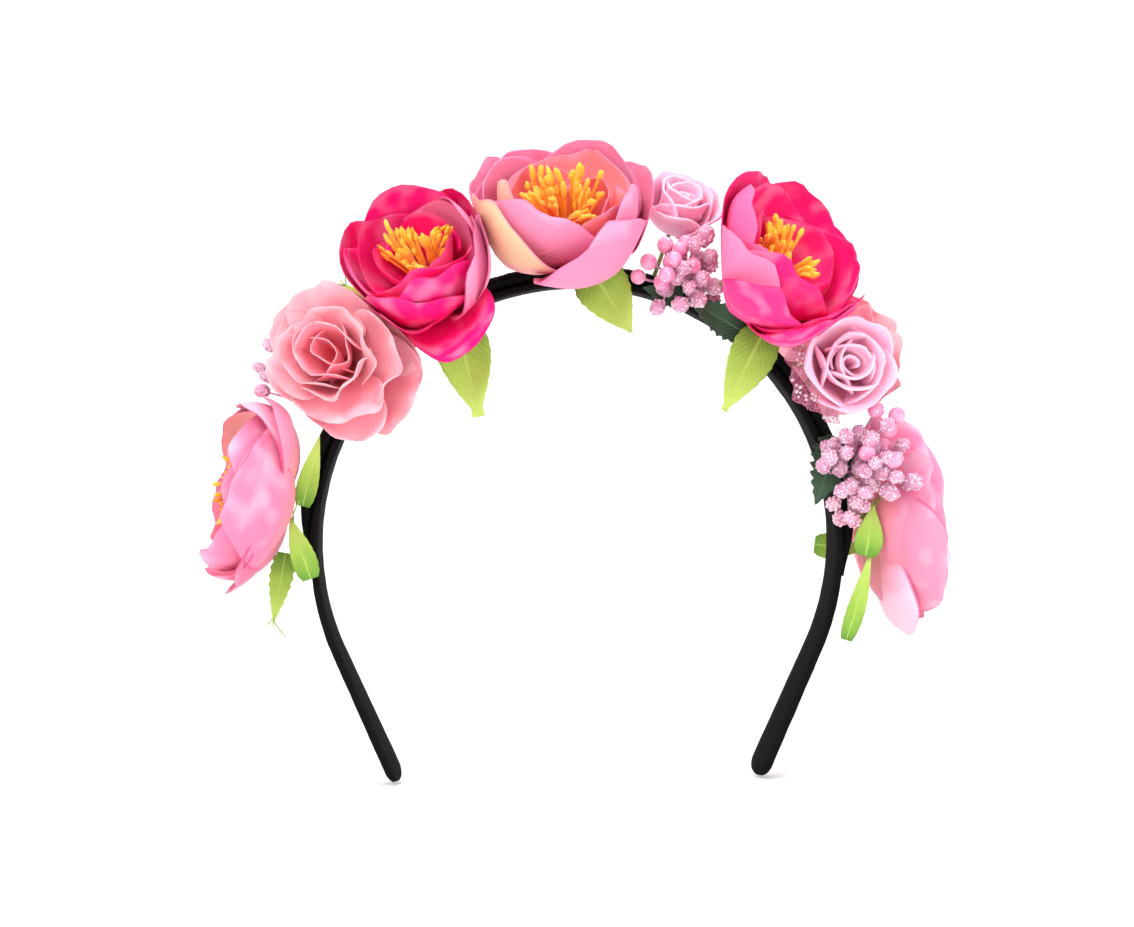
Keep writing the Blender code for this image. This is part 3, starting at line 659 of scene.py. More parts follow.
def stamen_brush(shape, axes, radius, floor, count, squeeze, height, seed):
    """Threads that stand in a ring of clumps, bend together and end in fluffy heads."""
    random_of, total = random.Random(seed), 9
    clumps = [(TAU * (index + random_of.uniform(-0.3, 0.3)) / total,
               random_of.uniform(0.10, 0.26), random_of.uniform(0.0, 0.5),
               random_of.uniform(0.7, 1.0), random_of.uniform(-0.5, 0.5))
              for index in range(total)]
    for index in range(count):
        turn, out, lean, tall, swirl = clumps[index % total]
        turn += random_of.uniform(-0.28, 0.28)
        out *= random_of.uniform(0.6, 1.2)
        lean += random_of.uniform(-0.12, 0.12)
        length = radius * 0.72 * height * tall * random_of.uniform(0.55, 1.0)
        line = []
        for step in range(6):
            part = step / 5
            way = turn + swirl * part * part
            angle = lean * (0.3 + 1.1 * part)
            reach = radius * out + math.sin(angle) * part * length
            point = Vector((math.cos(way) * reach, math.sin(way) * reach,
                            floor + math.cos(angle) * part * length))
            point.x *= squeeze
            line.append(axes @ point)
        tint = random_of.uniform(0.0, 0.5)
        shape.tube(line, radius * 0.019, 5, tint)
        ahead = (line[-1] - line[-2]).normalized()
        turned = ahead.to_track_quat("Z", "Y").to_matrix()
        head = radius * random_of.uniform(0.026, 0.036)
        shape.ball(line[-1] - ahead * head, (head, head, head * random_of.uniform(1.6, 3.4)),
                   BEAD, turned, 0.5, tint + 0.5)


def make_sepals(name, axes, radius, node, material):
    """The green cup under a flower, five sepals and the wire stem down to the garland."""
    shape = Shape()
    foot = min(points_of(node), key=lambda point: (point - axes.translation).dot(axes.col[2].xyz))
    depth = -(foot - axes.translation).dot(axes.col[2].xyz)
    steps = 10
    bell = radius * 0.14

    def cup_radius(share):
        return 0.9 * MM + (bell - 0.9 * MM) * smooth(0.35, 1.0, share)

    line = [axes @ Vector((0, 0, -depth * (1 - step / steps) - 0.4 * MM))
            for step in range(steps + 1)]
    shape.tube(line, cup_radius, 14)
    for index in range(5):
        petal(shape, axes, TAU * index / 5, radius * 0.42, radius * 0.2,
              (bell * 0.6, -0.9 * MM), (70, 96), 0.5, radius * 0.02, index, rows=6, columns=4)
    shape.make(name, material, [node], slot="calyx")


class Layer(NamedTuple):
    """Petals of one piece: its name, CAD node, satin and rings, and where the rings start."""
    piece: str
    node: str
    satin: bpy.types.Material
    rings: tuple
    start: int          # turn of its first petal from the flower's, in degrees
    step: int           # turn from each ring to the next


def satin_bloom(name, seed, look, head, layers, size, thick, slot, green):
    """A flower's petals, layer by layer from the outside, and the sepals under them."""
    axes, along, across = flower_axes(name + "_calyx", name + head, name + "_outer_petals")
    radius, planes = across * size * look["grow"], sides_between(name)
    flower = dict(squeeze=(1 + 2 * along / across) / 3, fade=look["fade"], open=look["open"])
    for level, layer in enumerate(layers):
        shape = Shape(planes)
        for index, (degrees, lean, length, width) in enumerate(
                look.get("guards", ()) if level == 0 else ()):
            turn = math.radians(degrees)
            petal(shape, axes, turn, radius * length, radius * width,
                  (radius * 0.08, -radius * 0.03), (98, lean), 0.8, radius * 0.07,
                  seed * 7 + index + 300, flower["squeeze"], fade_for(turn, *look["fade"]))
        rings_of_petals(shape, axes, look["start"] + layer.start, layer.step, radius,
                        layer.rings, flower, seed * 10 + level * 5)
        shape.make(name + layer.piece, layer.satin, [name + layer.node], thick=thick, slot=slot)
    make_sepals(name + "_sepals", axes, radius, name + "_calyx", green)
    return axes, radius, flower["squeeze"]


class FlowerSettings(bpy.types.PropertyGroup):
    petal_thickness: FloatProperty(
        name="Petal thickness", description="Thickness of the satin", default=0.28 * MM,
        min=0.05 * MM, max=1 * MM, unit="LENGTH")
    foam_thickness: FloatProperty(
        name="Foam thickness", description="Thickness of the foam sheet", default=0.7 * MM,
        min=0.2 * MM, max=2 * MM, unit="LENGTH")
    peony_size: FloatProperty(
        name="Peony size", description="Size of the peonies against the frame", default=1.0,
        min=0.8, max=1.1)
    berry_size: FloatProperty(
        name="Berry size", description="Size of the berries against the frame's", default=1.0,
        min=0.7, max=1.2)


class CROWN_OT_peonies(bpy.types.Operator):
    """Build the five peonies: petals, cups, stamens and calyxes"""
    bl_idname = "crown.peonies"
    bl_label = "Peonies"

    def execute(self, context):
        settings = context.scene.crown_flowers
        dyes, thread, green = petal_dyes(), flocked_thread(), moulded_green()
        for seed, (name, look) in enumerate(PEONIES.items()):
            satin, cup_satin = dyes[look["dye"]]
            axes, radius, squeeze = satin_bloom(
                name, seed, look, "_stamens",
                (Layer("_satin_petals", "_outer_petals", satin, PEONY_OUTER, 0, 36),
                 Layer("_satin_cup", "_cup_petals", cup_satin, PEONY_CUP, 18, 45)),
                settings.peony_size, settings.petal_thickness,
                "petal_hot_pink" if look["dye"] == "hot" else "petal_light_pink", green)
            brush = Shape()
            stamen_brush(brush, axes, radius, radius * 0.2, look["stamens"], squeeze,
                         look["tall"], seed)
            brush.make(name + "_thread_stamens", thread, [name + "_stamens"], slot="stamens")
        return {"FINISHED"}


class CROWN_OT_roses(bpy.types.Operator):
    """Build the two coral roses with their ruffled petals"""
    bl_idname = "crown.roses"
    bl_label = "Coral roses"

    def execute(self, context):
        satin = satin_petal("satin_coral", "#FF8A9A", "#FFAAB8", "#FFC8D0", "#FFD0D6", "#FFB8C2",
                            0.93, 0.4)
        heart_satin = satin_petal("satin_coral_heart", "#FF6A7C", "#FF92A4", "#FFBAC4",
                                  "#FFC0C8", "#FFA8B4", 0.93, 0.3)
        layers = (Layer("_satin_petals", "_outer_petals", satin, ROSE_OUTER, 0, 27),
                  Layer("_satin_heart", "_bud", heart_satin, ROSE_HEART, 0, 50))
        for seed, (name, look) in enumerate(ROSES.items(), 50):
            satin_bloom(name, seed, look, "_bud", layers, 1.0,
                        context.scene.crown_flowers.petal_thickness, "petal_coral",
                        bpy.data.materials["moulded_polyethylene_green"])
        return {"FINISHED"}


def rolled_heart(shape, axes, radius, turns, floor, top):
    """A strip of foam rolled into a spiral that widens a little at its rim."""
    def place(across, along):
        turn = (across * 0.5 + 0.5) * turns * TAU
        share = across * 0.5 + 0.5
        ring = radius * (0.07 + 0.34 * share) * (1 + 0.30 * along ** 3)
        ring *= 1 + 0.16 * math.sin(turn * 2 + 0.6)
        height = floor + (top - floor) * along * (1 - 0.16 * share)
        return axes @ Vector((math.cos(turn) * ring, math.sin(turn) * ring, height))

    shape.grid(7, 56, place)


class CROWN_OT_foam_roses(bpy.types.Operator):
    """Build the two small foam roses, each rolled from a strip inside curled petals"""
    bl_idname = "crown.foam_roses"
    bl_label = "Foam roses"

    def execute(self, context):
        thick = context.scene.crown_flowers.foam_thickness
        foam = foam_sheet()
        green = bpy.data.materials["moulded_polyethylene_green"]
        for seed, name in enumerate(FOAM_ROSES, 80):
            axes, radius = foam_axes(name)
            radius *= FOAM_GROW
            flower = dict(squeeze=1.0, fade=(0, 1, 0), open=0)
            outer, heart, stem = Shape(), Shape(), Shape()
            rings_of_petals(outer, axes, 0, 52, radius, FOAM_OUTER, flower, seed * 10)
            rolled_heart(heart, axes, radius, 1.7, -radius * 0.4, radius * 0.66)
            outer.make(name + "_foam_petals", foam, [name + "_petals"], thick=thick,
                       slot="foam_rose")
            heart.make(name + "_foam_heart", foam, [name + "_heart"], thick=thick,
                       slot="foam_rose")
            foot = min(points_of(name + "_heart"),
                       key=lambda point: (point - ARCH_CENTRE).length)
            under = axes @ Vector((0, 0, -radius * 0.9))
            line = [foot.lerp(under, step / 5) for step in range(6)]
            line.append(axes @ Vector((0, 0, -radius * 0.4)))
            stem.tube(line, 0.6 * MM, 8)
            stem.make(name + "_wire_stem", green, body=BODY_OF[name + "_heart"], slot="calyx")
        return {"FINISHED"}


def foam_axes(name):
    """A foam rose's axes and radius. Its ring of petals is open at the front of the bloom."""
    ring, centre = points_of(name + "_petals"), mean(separate_points(name + "_petals"))
    # The rim is the flattest loop: its normal is the direction in which the ring is thinnest.
    out = thin_direction(ring, centre)
    if out.dot(FRONT + Vector((0, 0, 0.3))) < 0:
        out = -out
    axes = bloom_axes(centre, out, centre)
    return axes, max(abs((point - centre).dot(axes.col[0].xyz)) for point in ring)


def thin_direction(points, centre, power=40):
    """The direction in which a cloud of points is thinnest, by repeated multiplication."""
    spread = Matrix(((0, 0, 0),) * 3)
    for point in points:
        gap = point - centre
        for row in range(3):
            for column in range(3):
                spread[row][column] += gap[row] * gap[column]
    turned = spread.inverted()
    turned *= 1 / max(abs(number) for row in turned for number in row)
    found = Vector((0.3, -0.8, 0.52))
    for _ in range(power):
        found = (turned @ found).normalized()
    return found


# ---- berries ----

def berries_in(node, radius):
    """The centres of a pick's berries, found in its CAD solid, and the foot of its wires."""
    points = separate_points(node)
    foot = min(points, key=lambda point: (
        point - ARCH_CENTRE - outward_at(point) * WIRE_LINE).length)
    centres, left = [], points
    # The farthest point is a berry's tip. The berry's own points then give its centre.
    while left:
        tip = max(left, key=lambda point: (point - foot).length)
        if (tip - foot).length < radius * 2.6:
            break
        centre = tip + (foot - tip).normalized() * radius
        for _ in range(6):
            near = [point for point in left if (point - centre).length < radius * 1.35]
            if near:
                centre = mean(near)
        centres.append(centre)
        left = [point for point in left if (point - centre).length > radius * 1.5]
    return centres, foot


def berry_wire(shape, foot, berry, seed):
    """A thin wire from the knot of a pick to a berry, with a slight bow."""
    bow = Vector((math.sin(seed * 2.1), 0.4 * math.cos(seed), math.cos(seed * 1.7))) * 0.8 * MM
    line = [foot.lerp(berry, step / 6) + bow * math.sin(math.pi * step / 6) for step in range(7)]
    shape.tube(line, 0.32 * MM, 6)
    return (line[-1] - line[-2]).normalized()


def tuck_between(centres, radius, count, toward, random_of):
    """Smaller berries in the gaps between those that the frame has, and on towards one side."""
    taken = [(centre, radius) for centre in centres]
    middle = mean(centres)
    for _ in range(count * 60):
        if len(taken) == len(centres) + count:
            break
        size = radius * random_of.uniform(0.75, 1.0)
        near = random_of.choice(centres)
        way = Vector((random_of.gauss(0, 1), random_of.gauss(0, 0.7), random_of.gauss(0, 1)))
        place = near.lerp(middle, random_of.uniform(0, 0.7)) + way.normalized() * radius * 1.8
        place += Vector(toward) * MM * random_of.random()
        if all((place - other).length > (size + ball) * 0.86 for other, ball in taken):
            taken.append((place, size))
    return taken[len(centres):]


def sugared_berry(shape, centre, radius, turn, random_of):
    """A small egg of foam with heaped sugar grains standing out of it."""
    size = Vector((radius * 0.84, radius * 0.84, radius * random_of.uniform(1.0, 1.25)))
    shape.ball(centre, size, BERRY, turn, 0.2, tint=0.2)
    for _ in range(40):
        way = Vector(random_of.gauss(0, 1) for _ in range(3)).normalized()
        place = Vector(a * b for a, b in zip(way, size)) * 0.97
        shape.ball(centre + turn @ place, radius * random_of.uniform(0.10, 0.19), GRAIN, tint=0.9)


def beaded_berry(shape, centre, radius, turn):
    """A ball covered in small beads, in a spiral from pole to pole."""
    shape.ball(centre, radius * 0.82, BEAD, turn)
    beads = 26
    for index in range(beads):
        height = 1 - 2 * (index + 0.5) / beads
        ring = math.sqrt(1 - height * height)
        angle = index * GOLDEN_ANGLE
        way = Vector((ring * math.cos(angle), ring * math.sin(angle), height * 1.15))
        shape.ball(centre + turn @ way * radius * 0.85, radius * 0.27, BEAD, tint=0.7)


# kind, CAD radius in millimetres, how many smaller berries are tucked between, the side they
# reach for in millimetres, and the slot
PICKS = {
    "berry_pearls_top": ("pearl", 2.25, 5, (-5, 0, -2), "berry_pearl"),
    "berry_sugared_top": ("sugared", 2.6, 12, (-9, -2, 0), "berry_sugared"),
    "berry_beaded_top": ("beaded", 2.1, 8, (-4, -1, -1), "berry_beaded"),
    "berry_pearls_right": ("pearl", 2.25, 3, (0, 0, 0), "berry_pearl"),
    "berry_sugared_right": ("sugared", 2.6, 26, (-9, -1, 12), "berry_sugared"),
    "berry_beaded_right": ("beaded", 2.0, 6, (2, 0, 3), "berry_beaded"),
    "berry_pick_left": ("sugared", 2.2, 5, (1, 0, 0), "berry_sugared"),
}


class CROWN_OT_berries(bpy.types.Operator):
    """Build the picks of pearl, sugared and beaded berries on their wires"""
    bl_idname = "crown.berries"
    bl_label = "Berries"

    def execute(self, context):
        size = context.scene.crown_flowers.berry_size
        finish = {
            "pearl": grained_berry("pearl_lacquer_pink", "#DE78A6", "#F0A6C6", "#FFE0EC", 0.9,
                                   0.36, 0.35, 0.12),
            "sugared": grained_berry("sugar_grains_lilac", "#C2809F", "#D69CBA", "#F8DEEA", 0.6,
                                     0.7, 0.0, 0.45),
            "beaded": grained_berry("glass_beads_pale_pink", "#DC9CB8", "#EEC2D4", "#FFF0F6",
                                    0.6, 0.35, 0.3, 0.25),
        }
        wire_paper = woven_cover("paper_wire_pink", "#C98AAE", 0.5, 0.2, "#E8B8D2")
        for seed, (name, (kind, mm, extra, toward, slot)) in enumerate(PICKS.items(), 3):
            radius = mm * MM * size
            centres, foot = berries_in(name, mm * MM)
            random_of = random.Random(seed)
            berries, wires = Shape(), Shape()
            more = tuck_between(centres, radius, extra, toward, random_of)
            whole = [(centre, radius) for centre in centres]
            for index, (centre, ball) in enumerate(whole + more):
                ahead = berry_wire(wires, foot, centre, seed + index)
                turn = ahead.to_track_quat("Z", "Y").to_matrix()
                if kind == "beaded":
                    beaded_berry(berries, centre, ball, turn)
                elif kind == "sugared":
                    sugared_berry(berries, centre, ball, turn, random_of)
                else:
                    berries.ball(centre, (ball, ball, ball * 1.05), BERRY, turn, 0.03)
            berries.make(name + "_berries", finish[kind], [name], slot=slot)
            wires.make(name + "_wires", wire_paper, body=BODY_OF[name], slot=slot)
        return {"FINISHED"}


# ---- leaves ----

class Leaf(NamedTuple):
    """How a leaf is cut and bent. Widths are shares of its CAD half width."""
    teeth: float        # depth of the cuts along its edge
    curl: float         # bend, against its length
    wide: float
    cut: float = 0.0    # width left at a blunt tip
    frayed: int = 0     # loose threads at the tip


LEAVES = {
    "leaf_top": Leaf(0.05, 0.05, 1.12, 0.05),
    "leaf_upper_left": Leaf(0.04, 0.04, 1.1, 0.2),
    "leaf_rose_left": Leaf(0.05, 0.1, 1.0, frayed=5),
    "leaf_left_curved": Leaf(0.04, 0.2, 1.0),
    "leaf_left_low": Leaf(0.05, 0.12, 1.1, 0.1, 4),
    "leaf_left_serrated": Leaf(0.16, 0.06, 1.1, frayed=3),
    "leaf_upper_right": Leaf(0.05, 0.05, 1.15, 0.12),
    "leaf_dark_top": Leaf(0.2, 0.1, 1.2),
    "leaf_dark_upper": Leaf(0.2, 0.08, 1.2),
    "leaf_ivy": Leaf(0.3, 0.05, 1.3),
    "leaf_right_light": Leaf(0.05, 0.1, 1.1, 0.1, 3),
    "leaf_right_long": Leaf(0.04, 0.14, 1.0, frayed=1),
    "leaf_right_back": Leaf(0.05, 0.0, 1.0, 0.4, 6),
}
DARK_LEAVES = ("leaf_dark_top", "leaf_dark_upper", "leaf_ivy")


def leaf_axes(node):
    """A leaf's foot, its directions along and across, and its length and half width."""
    points, centre = points_of(node), mean(separate_points(node))
    normal = thin_direction(points, centre)
    if normal.dot(FRONT) < 0:
        normal = -normal
    far = max(points, key=lambda point: (point - centre).length)
    along = far - centre
    along = (along - normal * along.dot(normal)).normalized()
    ends = [centre + along * reach(((p - centre).dot(along) for p in points))
            for reach in (min, max)]
    nearness = [abs((end - ARCH_CENTRE).length - WIRE_LINE) for end in ends]
    if nearness[1] < nearness[0]:
        ends.reverse()
    along = (ends[1] - ends[0]).normalized()
    side = normal.cross(along)
    half = max(abs((point - centre).dot(side)) for point in points)
    return ends[0], along, side, normal, (ends[1] - ends[0]).length, half


def make_leaf(name, look, material, seed):
    """One leaf: a sheet folded along its middle vein, with loose threads at its cut tip."""
    foot, along, side, normal, length, half = leaf_axes(name)
    random_of = random.Random(seed)
    shape = Shape()

    def outline(share):
        full = math.sin(math.pi * min(1, share * 0.92 + 0.08) ** 0.62) ** 0.9
        return max(full, 0.03 + look.cut * smooth(0.5, 1, share))

    def place(across, share):
        teeth = 1 - look.teeth * (0.5 + 0.5 * math.sin(share * TAU * 8)) * abs(across) ** 4
        over = half * look.wide * outline(share) * across * teeth
        fold = 0.20 * abs(over) + 0.05 * half * math.sin(share * 9 + across * 2)
        bend = look.curl * length * math.sin(share * math.pi * 0.9) * 0.5
        return foot + along * length * share + side * over + normal * (fold + bend)

    shape.grid(26, 12, place, random_of.random())
    for index in range(look.frayed):
        start = place(random_of.uniform(-1, 1), random_of.uniform(0.86, 1.0))
        way = along + side * random_of.uniform(-0.9, 0.9) + normal * random_of.uniform(-0.4, 0.4)
        bow = side * random_of.uniform(-1, 1) * MM
        reach = random_of.uniform(2, 4.5) * MM
        line = [start + way * reach * step / 5 + bow * (step / 5) ** 2 for step in range(6)]
        shape.tube(line, 0.07 * MM, 4)
    shape.make(name + "_cloth", material, [name], thick=0.22 * MM,
               slot="leaf_dark" if name in DARK_LEAVES else "leaf_light")


class CROWN_OT_leaves(bpy.types.Operator):
    """Build the light and dark cloth leaves, their veins and frayed edges"""
    bl_idname = "crown.leaves"
    bl_label = "Leaves"

    def execute(self, context):
        light = ribbed_leaf("ribbed_cloth_light_green", "#5C9032", "#94B84A", "#BAD268",
                            "#AECB62")
        dark = ribbed_leaf("ribbed_cloth_dark_green", "#1E3526", "#2F4C38", "#3F5A42", "#4C6A50")
        for seed, (name, look) in enumerate(LEAVES.items(), 11):
            make_leaf(name, look, dark if name in DARK_LEAVES else light, seed)
        return {"FINISHED"}


# ---- band ----

TIP_LENGTH = 4.4 * MM       # round end of the cover
TAPE_PITCH = 4.5 * MM       # one turn of the floral tape



def leg_end(side):
    """Where a leg ends, read from its core: the angle at which the arch turns into the leg, the
    leg's length with its cover, and how far the tip is turned about it."""
    sign = -1 if side == "left" else 1
    points = separate_points("band_core_" + side)
    middle = ARCH_R + BAND_DEPTH / 2
    angle = math.radians(110)
    for _ in range(4):
        ahead = Vector((sign * math.cos(angle), 0, -math.sin(angle)))
        far = max(point.dot(ahead) for point in points)
        ring = [point for point in points if point.dot(ahead) > far - 0.6 * MM]
        end = mean(ring) - ARCH_CENTRE
        straight = math.sqrt(end.x ** 2 + end.z ** 2 - middle ** 2)
        angle = math.atan2(abs(end.x), end.z) - math.atan2(straight, middle)
    ring.sort(key=lambda point: point.y)
    wide = ring[-1] + ring[-2] - ring[0] - ring[1]
    outward = Vector((sign * math.sin(angle), 0, math.cos(angle)))
    start = ARCH_CENTRE + outward * middle
    length = max((point - start).dot(ahead) for point in points_of("band_cover_" + side))
    return angle, length, math.atan2(-wide.dot(outward), wide.y)


def band_place(side, at, turn_end, out=0.0):
    """A point on the band's middle line, and straight out of the arch there: at is its arc length
    from the top, measured at the inner face; out is the height over that face."""
    sign = -1 if side == "left" else 1
    turn = min(at / ARCH_R, turn_end)
    rest = at - turn * ARCH_R
    outward = Vector((sign * math.sin(turn), 0, math.cos(turn)))
    ahead = Vector((sign * math.cos(turn), 0, -math.sin(turn)))
    return ARCH_CENTRE + outward * (ARCH_R + out) + ahead * rest, outward


class BandSettings(bpy.types.PropertyGroup):
    wrinkle: FloatProperty(
        name="Wrinkles", description="Height of the ripples in the glued cover",
        default=0.10 * MM, min=0, max=0.4 * MM, unit="LENGTH")
    colour: StringProperty(
        name="Cover colour", description="sRGB hex colour of the woven cover",
        default="#080607")


def make_sleeve(side, settings, cloth):
    """Half of the cover: a flattened tube with round edges, a lapped seam inside and a tip."""
    turn_end, leg, twist = leg_end(side)
    end = ARCH_R * turn_end + leg
    sign = -1 if side == "left" else 1
    shape = Shape()

    def place(across, along):
        at = end * (1 - (1 - along) ** 1.15)
        middle, outward = band_place(side, at, turn_end, BAND_DEPTH / 2)
        share = max(0.0, (at - TWIST_FROM) / (end - TWIST_FROM))
        lean = twist * share
        left = end - at
        tip = math.sqrt(max(0.0, 1 - (1 - min(1, left / TIP_LENGTH)) ** 2))
        angle = across * math.pi
        flat = 0.55     # 1 is an ellipse, less is squarer
        wide = math.copysign(abs(math.sin(angle)) ** flat, math.sin(angle))
        thick = math.copysign(abs(math.cos(angle)) ** flat, math.cos(angle))
        crease = noise.noise(Vector((at * 260, angle * 1.3, sign * 3.0)))
        fine = noise.noise(Vector((at * 900, angle * 4.0, 7.0)))
        seam = smooth(0.28, 0.2, abs(wide - 0.25)) * (1 if thick < -0.8 else 0)
        grow = settings.wrinkle * (crease + 0.4 * fine - 0.6) + 0.22 * MM * seam
        x = (BAND_DEPTH / 2 + grow - 0.1 * MM) * thick * (0.35 + 0.65 * tip)
        y = (BAND_HALF_WIDTH + grow * 0.6) * wide * (0.12 + 0.88 * tip)
        up = outward * math.cos(lean) + Vector((0, 1, 0)) * math.sin(lean)
        out = Vector((0, 1, 0)) * math.cos(lean) - outward * math.sin(lean)
        return middle + up * x + out * y

    shape.grid(150, 28, place, closed=True)
    bend_with_band(shape.make("cover_sleeve_" + side, cloth, slot="band_cover"),
                   "band_cover_", side)
    return turn_end


def bend_with_band(made, part, side):
    """Stands for a side's node, and the left half for the crown's too."""
    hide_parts(part + side, *([part + "crown"] if side == "left" else []))
    body = side + "_side"
    middle = FLEX[body]
    reach = along_at(middle) * (-6 * MM if side == "left" else 6 * MM)
    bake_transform(made)


def make_tape(side, turn_end, paper):
    """Half of the garland wire, wound in crepe tape whose turns make low ridges."""
    points = points_of("garland_wire_" + side)
    ends = [abs(math.atan2(p.x, p.z - ARCH_CENTRE.z)) for p in points]
    end = max(ends) * ARCH_R
    shape = Shape()

    def place(across, along):
        at = end * along
        middle, outward = band_place(side, at, turn_end, WIRE_LINE - ARCH_R)
        angle = across * math.pi
        ridge = 0.12 * MM * smooth(0.5, 1.0, (at / TAPE_PITCH + across * 0.5) % 1.0)
        crepe = 0.05 * MM * math.sin(at * 5200 + angle * 3)
        # Glue presses the taped wire flat against the cover, and the last turns thin out.
        near_end = smooth(0, 14 * MM, end - at) * 0.97 + 0.03
        high = (WIRE_LINE - ARCH_R - BAND_DEPTH + 0.35 * MM + ridge + crepe)
        high *= near_end if math.cos(angle) > 0 else 1
        wide = (BAND_HALF_WIDTH * 0.82 + ridge + crepe) * near_end
        return middle + outward * math.cos(angle) * high + Vector((0, math.sin(angle) * wide, 0))

    shape.grid(190, 12, place, closed=True)
    bend_with_band(shape.make("taped_wire_" + side, paper, slot="floral_tape"),
                   "garland_wire_", side)


class CROWN_OT_band(bpy.types.Operator):
    """Build the covered band and the taped garland wire along it"""
    bl_idname = "crown.band"
    bl_label = "Band and garland wire"

    def execute(self, context):
        settings = context.scene.crown_band
        cloth = woven_cover("woven_polyester_black", settings.colour, 0.45, 0.0, "#0E0B0C")
        paper = woven_cover("crepe_floral_tape", "#060907", 0.8, 0.0, "#0E140F")
        core = moulded_core()
        for side in ("left", "right"):
            turn_end = make_sleeve(side, settings, cloth)
            make_tape(side, turn_end, paper)
        for side in ("crown", "left", "right"):
            slots = NODES["band_core_" + side].data.materials
            slots.clear()
            slots.append(core)
        return {"FINISHED"}


# ---- tulle ----

PLEATS = 17.1               # pleats in a whole turn round the rose



class CROWN_OT_tulle(bpy.types.Operator):
    """Build the dotted tulle ribbon gathered round the right foam rose"""
    bl_idname = "crown.tulle"
    bl_label = "Tulle ribbon"

    def execute(self, context):
        net = sheer_tulle()
        dots = grained_berry("flock_dots_white", "#FFE8EC", "#FFF4F8", "#FFFFFF", 0.5, 0.6, 0.0,
                             0.4)
        axes, radius = foam_axes("foam_rose_right")
        inverse = axes.inverted()
        local = [inverse @ point for point in points_of("tulle_ribbon")]
        angles = [math.atan2(p.y, p.x) % TAU for p in local]
        start, end = min(angles), max(angles)
        inner = min(Vector(p.xy).length for p in local)
        outer = max(Vector(p.xy).length for p in local)
        depth = sum(p.z for p in local) / len(local)

        def place(across, along):
            turn = start + (end - start) * (across * 0.5 + 0.5)
            ring = inner + (outer - inner) * along
            pleat = 1.5 * MM * along * math.sin(turn * PLEATS)
            curl = 2.2 * MM * along * along
            ring += 0.8 * MM * along * math.sin(turn * 7)
            return axes @ Vector((math.cos(turn) * ring, math.sin(turn) * ring,
                                  depth + pleat + curl))

        sheet, spots = Shape(), Shape()
        sheet.grid(12, 90, place)
        ribbon = sheet.make("tulle_net", net, ["tulle_ribbon"], slot="tulle")
        random_of = random.Random(4)
        for index in range(40):
            # Two unlike steps spread the dots evenly over the net.
            spot = place(index * 0.618 % 1 * 2 - 1, 0.15 + 0.82 * (index * 0.7548 % 1))
            spots.ball(spot, random_of.uniform(0.34, 0.56) * MM, BEAD)
        dotted = spots.make("tulle_dots", dots, body=BODY_OF["tulle_ribbon"], slot="tulle")
        return {"FINISHED"}


# ---- stage ----

VIEW_CENTRE = Vector((-3.2, 0, -47.1)) * MM
VIEW_WIDTH = 306 * MM       # what the camera takes in at the crown


class StageSettings(bpy.types.PropertyGroup):
    camera_lens: FloatProperty(
        name="Lens", description="Focal length of the camera", default=60.0, min=20, max=200,
        unit="CAMERA")
    camera_azimuth: FloatProperty(
        name="Azimuth", description="Turn of the camera round the crown",
        default=math.radians(-5), min=-math.pi, max=math.pi, subtype="ANGLE")
    camera_elevation: FloatProperty(
        name="Elevation", description="Height of the camera over the horizon",
        default=math.radians(2), min=-1.4, max=1.4, subtype="ANGLE")


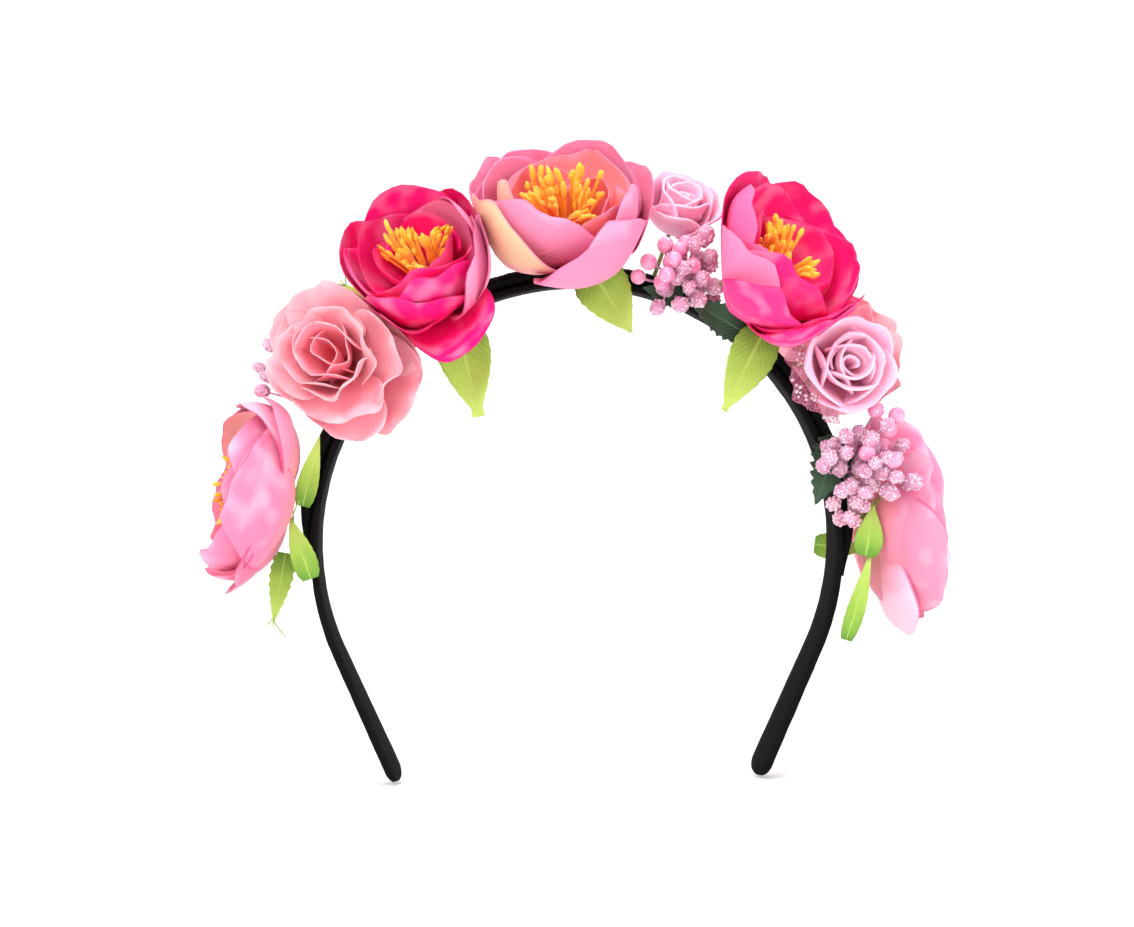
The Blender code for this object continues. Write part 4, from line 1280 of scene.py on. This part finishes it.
class CROWN_OT_stage(bpy.types.Operator):
    """Make the pale floor, the soft lights and the camera"""
    bl_idname = "crown.stage"
    bl_label = "Floor, lights and camera"

    def execute(self, context):
        settings = context.scene.crown_stage
        paper = start_material("matt_white_paper", Roughness=0.9, Specular_IOR_Level=0.1,
                               Base_Color=linear("#F7F6F5"))[0]
        floor_z = CAD_LOW.z - 0.5 * MM
        sweep = Shape()

        def place(across, along):
            depth = -1.5 + 3.6 * along
            rise = 2.2 * smooth(0.55, 1.0, along) ** 1.5
            return Vector((across * 2.6, depth, floor_z + rise))

        sweep.grid(40, 4, place)
        sweep.make("paper_sweep", paper)
        for name, place_at, size, power in (
                ("softbox_key", (-0.55, -0.75, 0.75), 0.7, 8.0),
                ("softbox_fill", (0.75, -0.7, 0.25), 0.8, 3.8),
                ("softbox_top", (0.0, 0.15, 0.9), 0.8, 5.5)):
            light = bpy.data.lights.new(name, "AREA")
            light.size, light.energy = size, power
            lamp = bpy.data.objects.new(name, light)
            lamp.location = place_at
            aim = Vector((0, 0, -0.05)) - lamp.location
            lamp.rotation_euler = aim.to_track_quat("-Z", "Y").to_euler()
            context.scene.collection.objects.link(lamp)
        world = bpy.data.worlds.new("studio")
        context.scene.world = world
        world.use_nodes = True
        back = world.node_tree.nodes["Background"]
        back.inputs["Color"].default_value = (1, 1, 1, 1)
        back.inputs["Strength"].default_value = 0.96
        context.scene.view_settings.view_transform = "Standard"
        self.place_camera(context, settings)
        return {"FINISHED"}

    def place_camera(self, context, settings):
        """The whole crown fills about two thirds of the frame's width."""
        data = bpy.data.cameras.new("camera")
        data.lens, data.sensor_width = settings.camera_lens, 36.0
        camera = bpy.data.objects.new("camera", data)
        turn, rise = settings.camera_azimuth, settings.camera_elevation
        away = Vector((math.sin(turn) * math.cos(rise), -math.cos(turn) * math.cos(rise),
                       math.sin(rise)))
        camera.location = VIEW_CENTRE + away * VIEW_WIDTH * data.lens / data.sensor_width
        camera.rotation_euler = (-away).to_track_quat("-Z", "Y").to_euler()
        context.scene.collection.objects.link(camera)
        context.scene.camera = camera


class CROWN_PT_panel(bpy.types.Panel):
    """Lists the steps that build the crown"""
    bl_idname = "CROWN_PT_panel"
    bl_label = "Flower Crown"
    bl_space_type = "VIEW_3D"
    bl_region_type = "UI"
    bl_category = "Flower Crown"

    def draw(self, context):
        for operator in OPERATORS:
            self.layout.operator(operator.bl_idname)


SETTINGS = {
    "crown_flowers": FlowerSettings,
    "crown_band": BandSettings,
    "crown_stage": StageSettings,
}
OPERATORS = (
    CROWN_OT_band, CROWN_OT_peonies, CROWN_OT_roses, CROWN_OT_foam_roses, CROWN_OT_berries,
    CROWN_OT_leaves, CROWN_OT_tulle, CROWN_OT_stage,
)


def register():
    for group in SETTINGS.values():
        bpy.utils.register_class(group)
    for name, group in SETTINGS.items():
        setattr(bpy.types.Scene, name, PointerProperty(type=group))
    for operator in (*OPERATORS, CROWN_PT_panel):
        bpy.utils.register_class(operator)


def unregister():
    for operator in reversed((*OPERATORS, CROWN_PT_panel)):
        bpy.utils.unregister_class(operator)
    for name in SETTINGS:
        delattr(bpy.types.Scene, name)
    for group in reversed(SETTINGS.values()):
        bpy.utils.unregister_class(group)


def main():
    register()
    for operator in OPERATORS:
        group, action = operator.bl_idname.split(".")
        getattr(getattr(bpy.ops, group), action)()


if __name__ == "__main__":
    main()
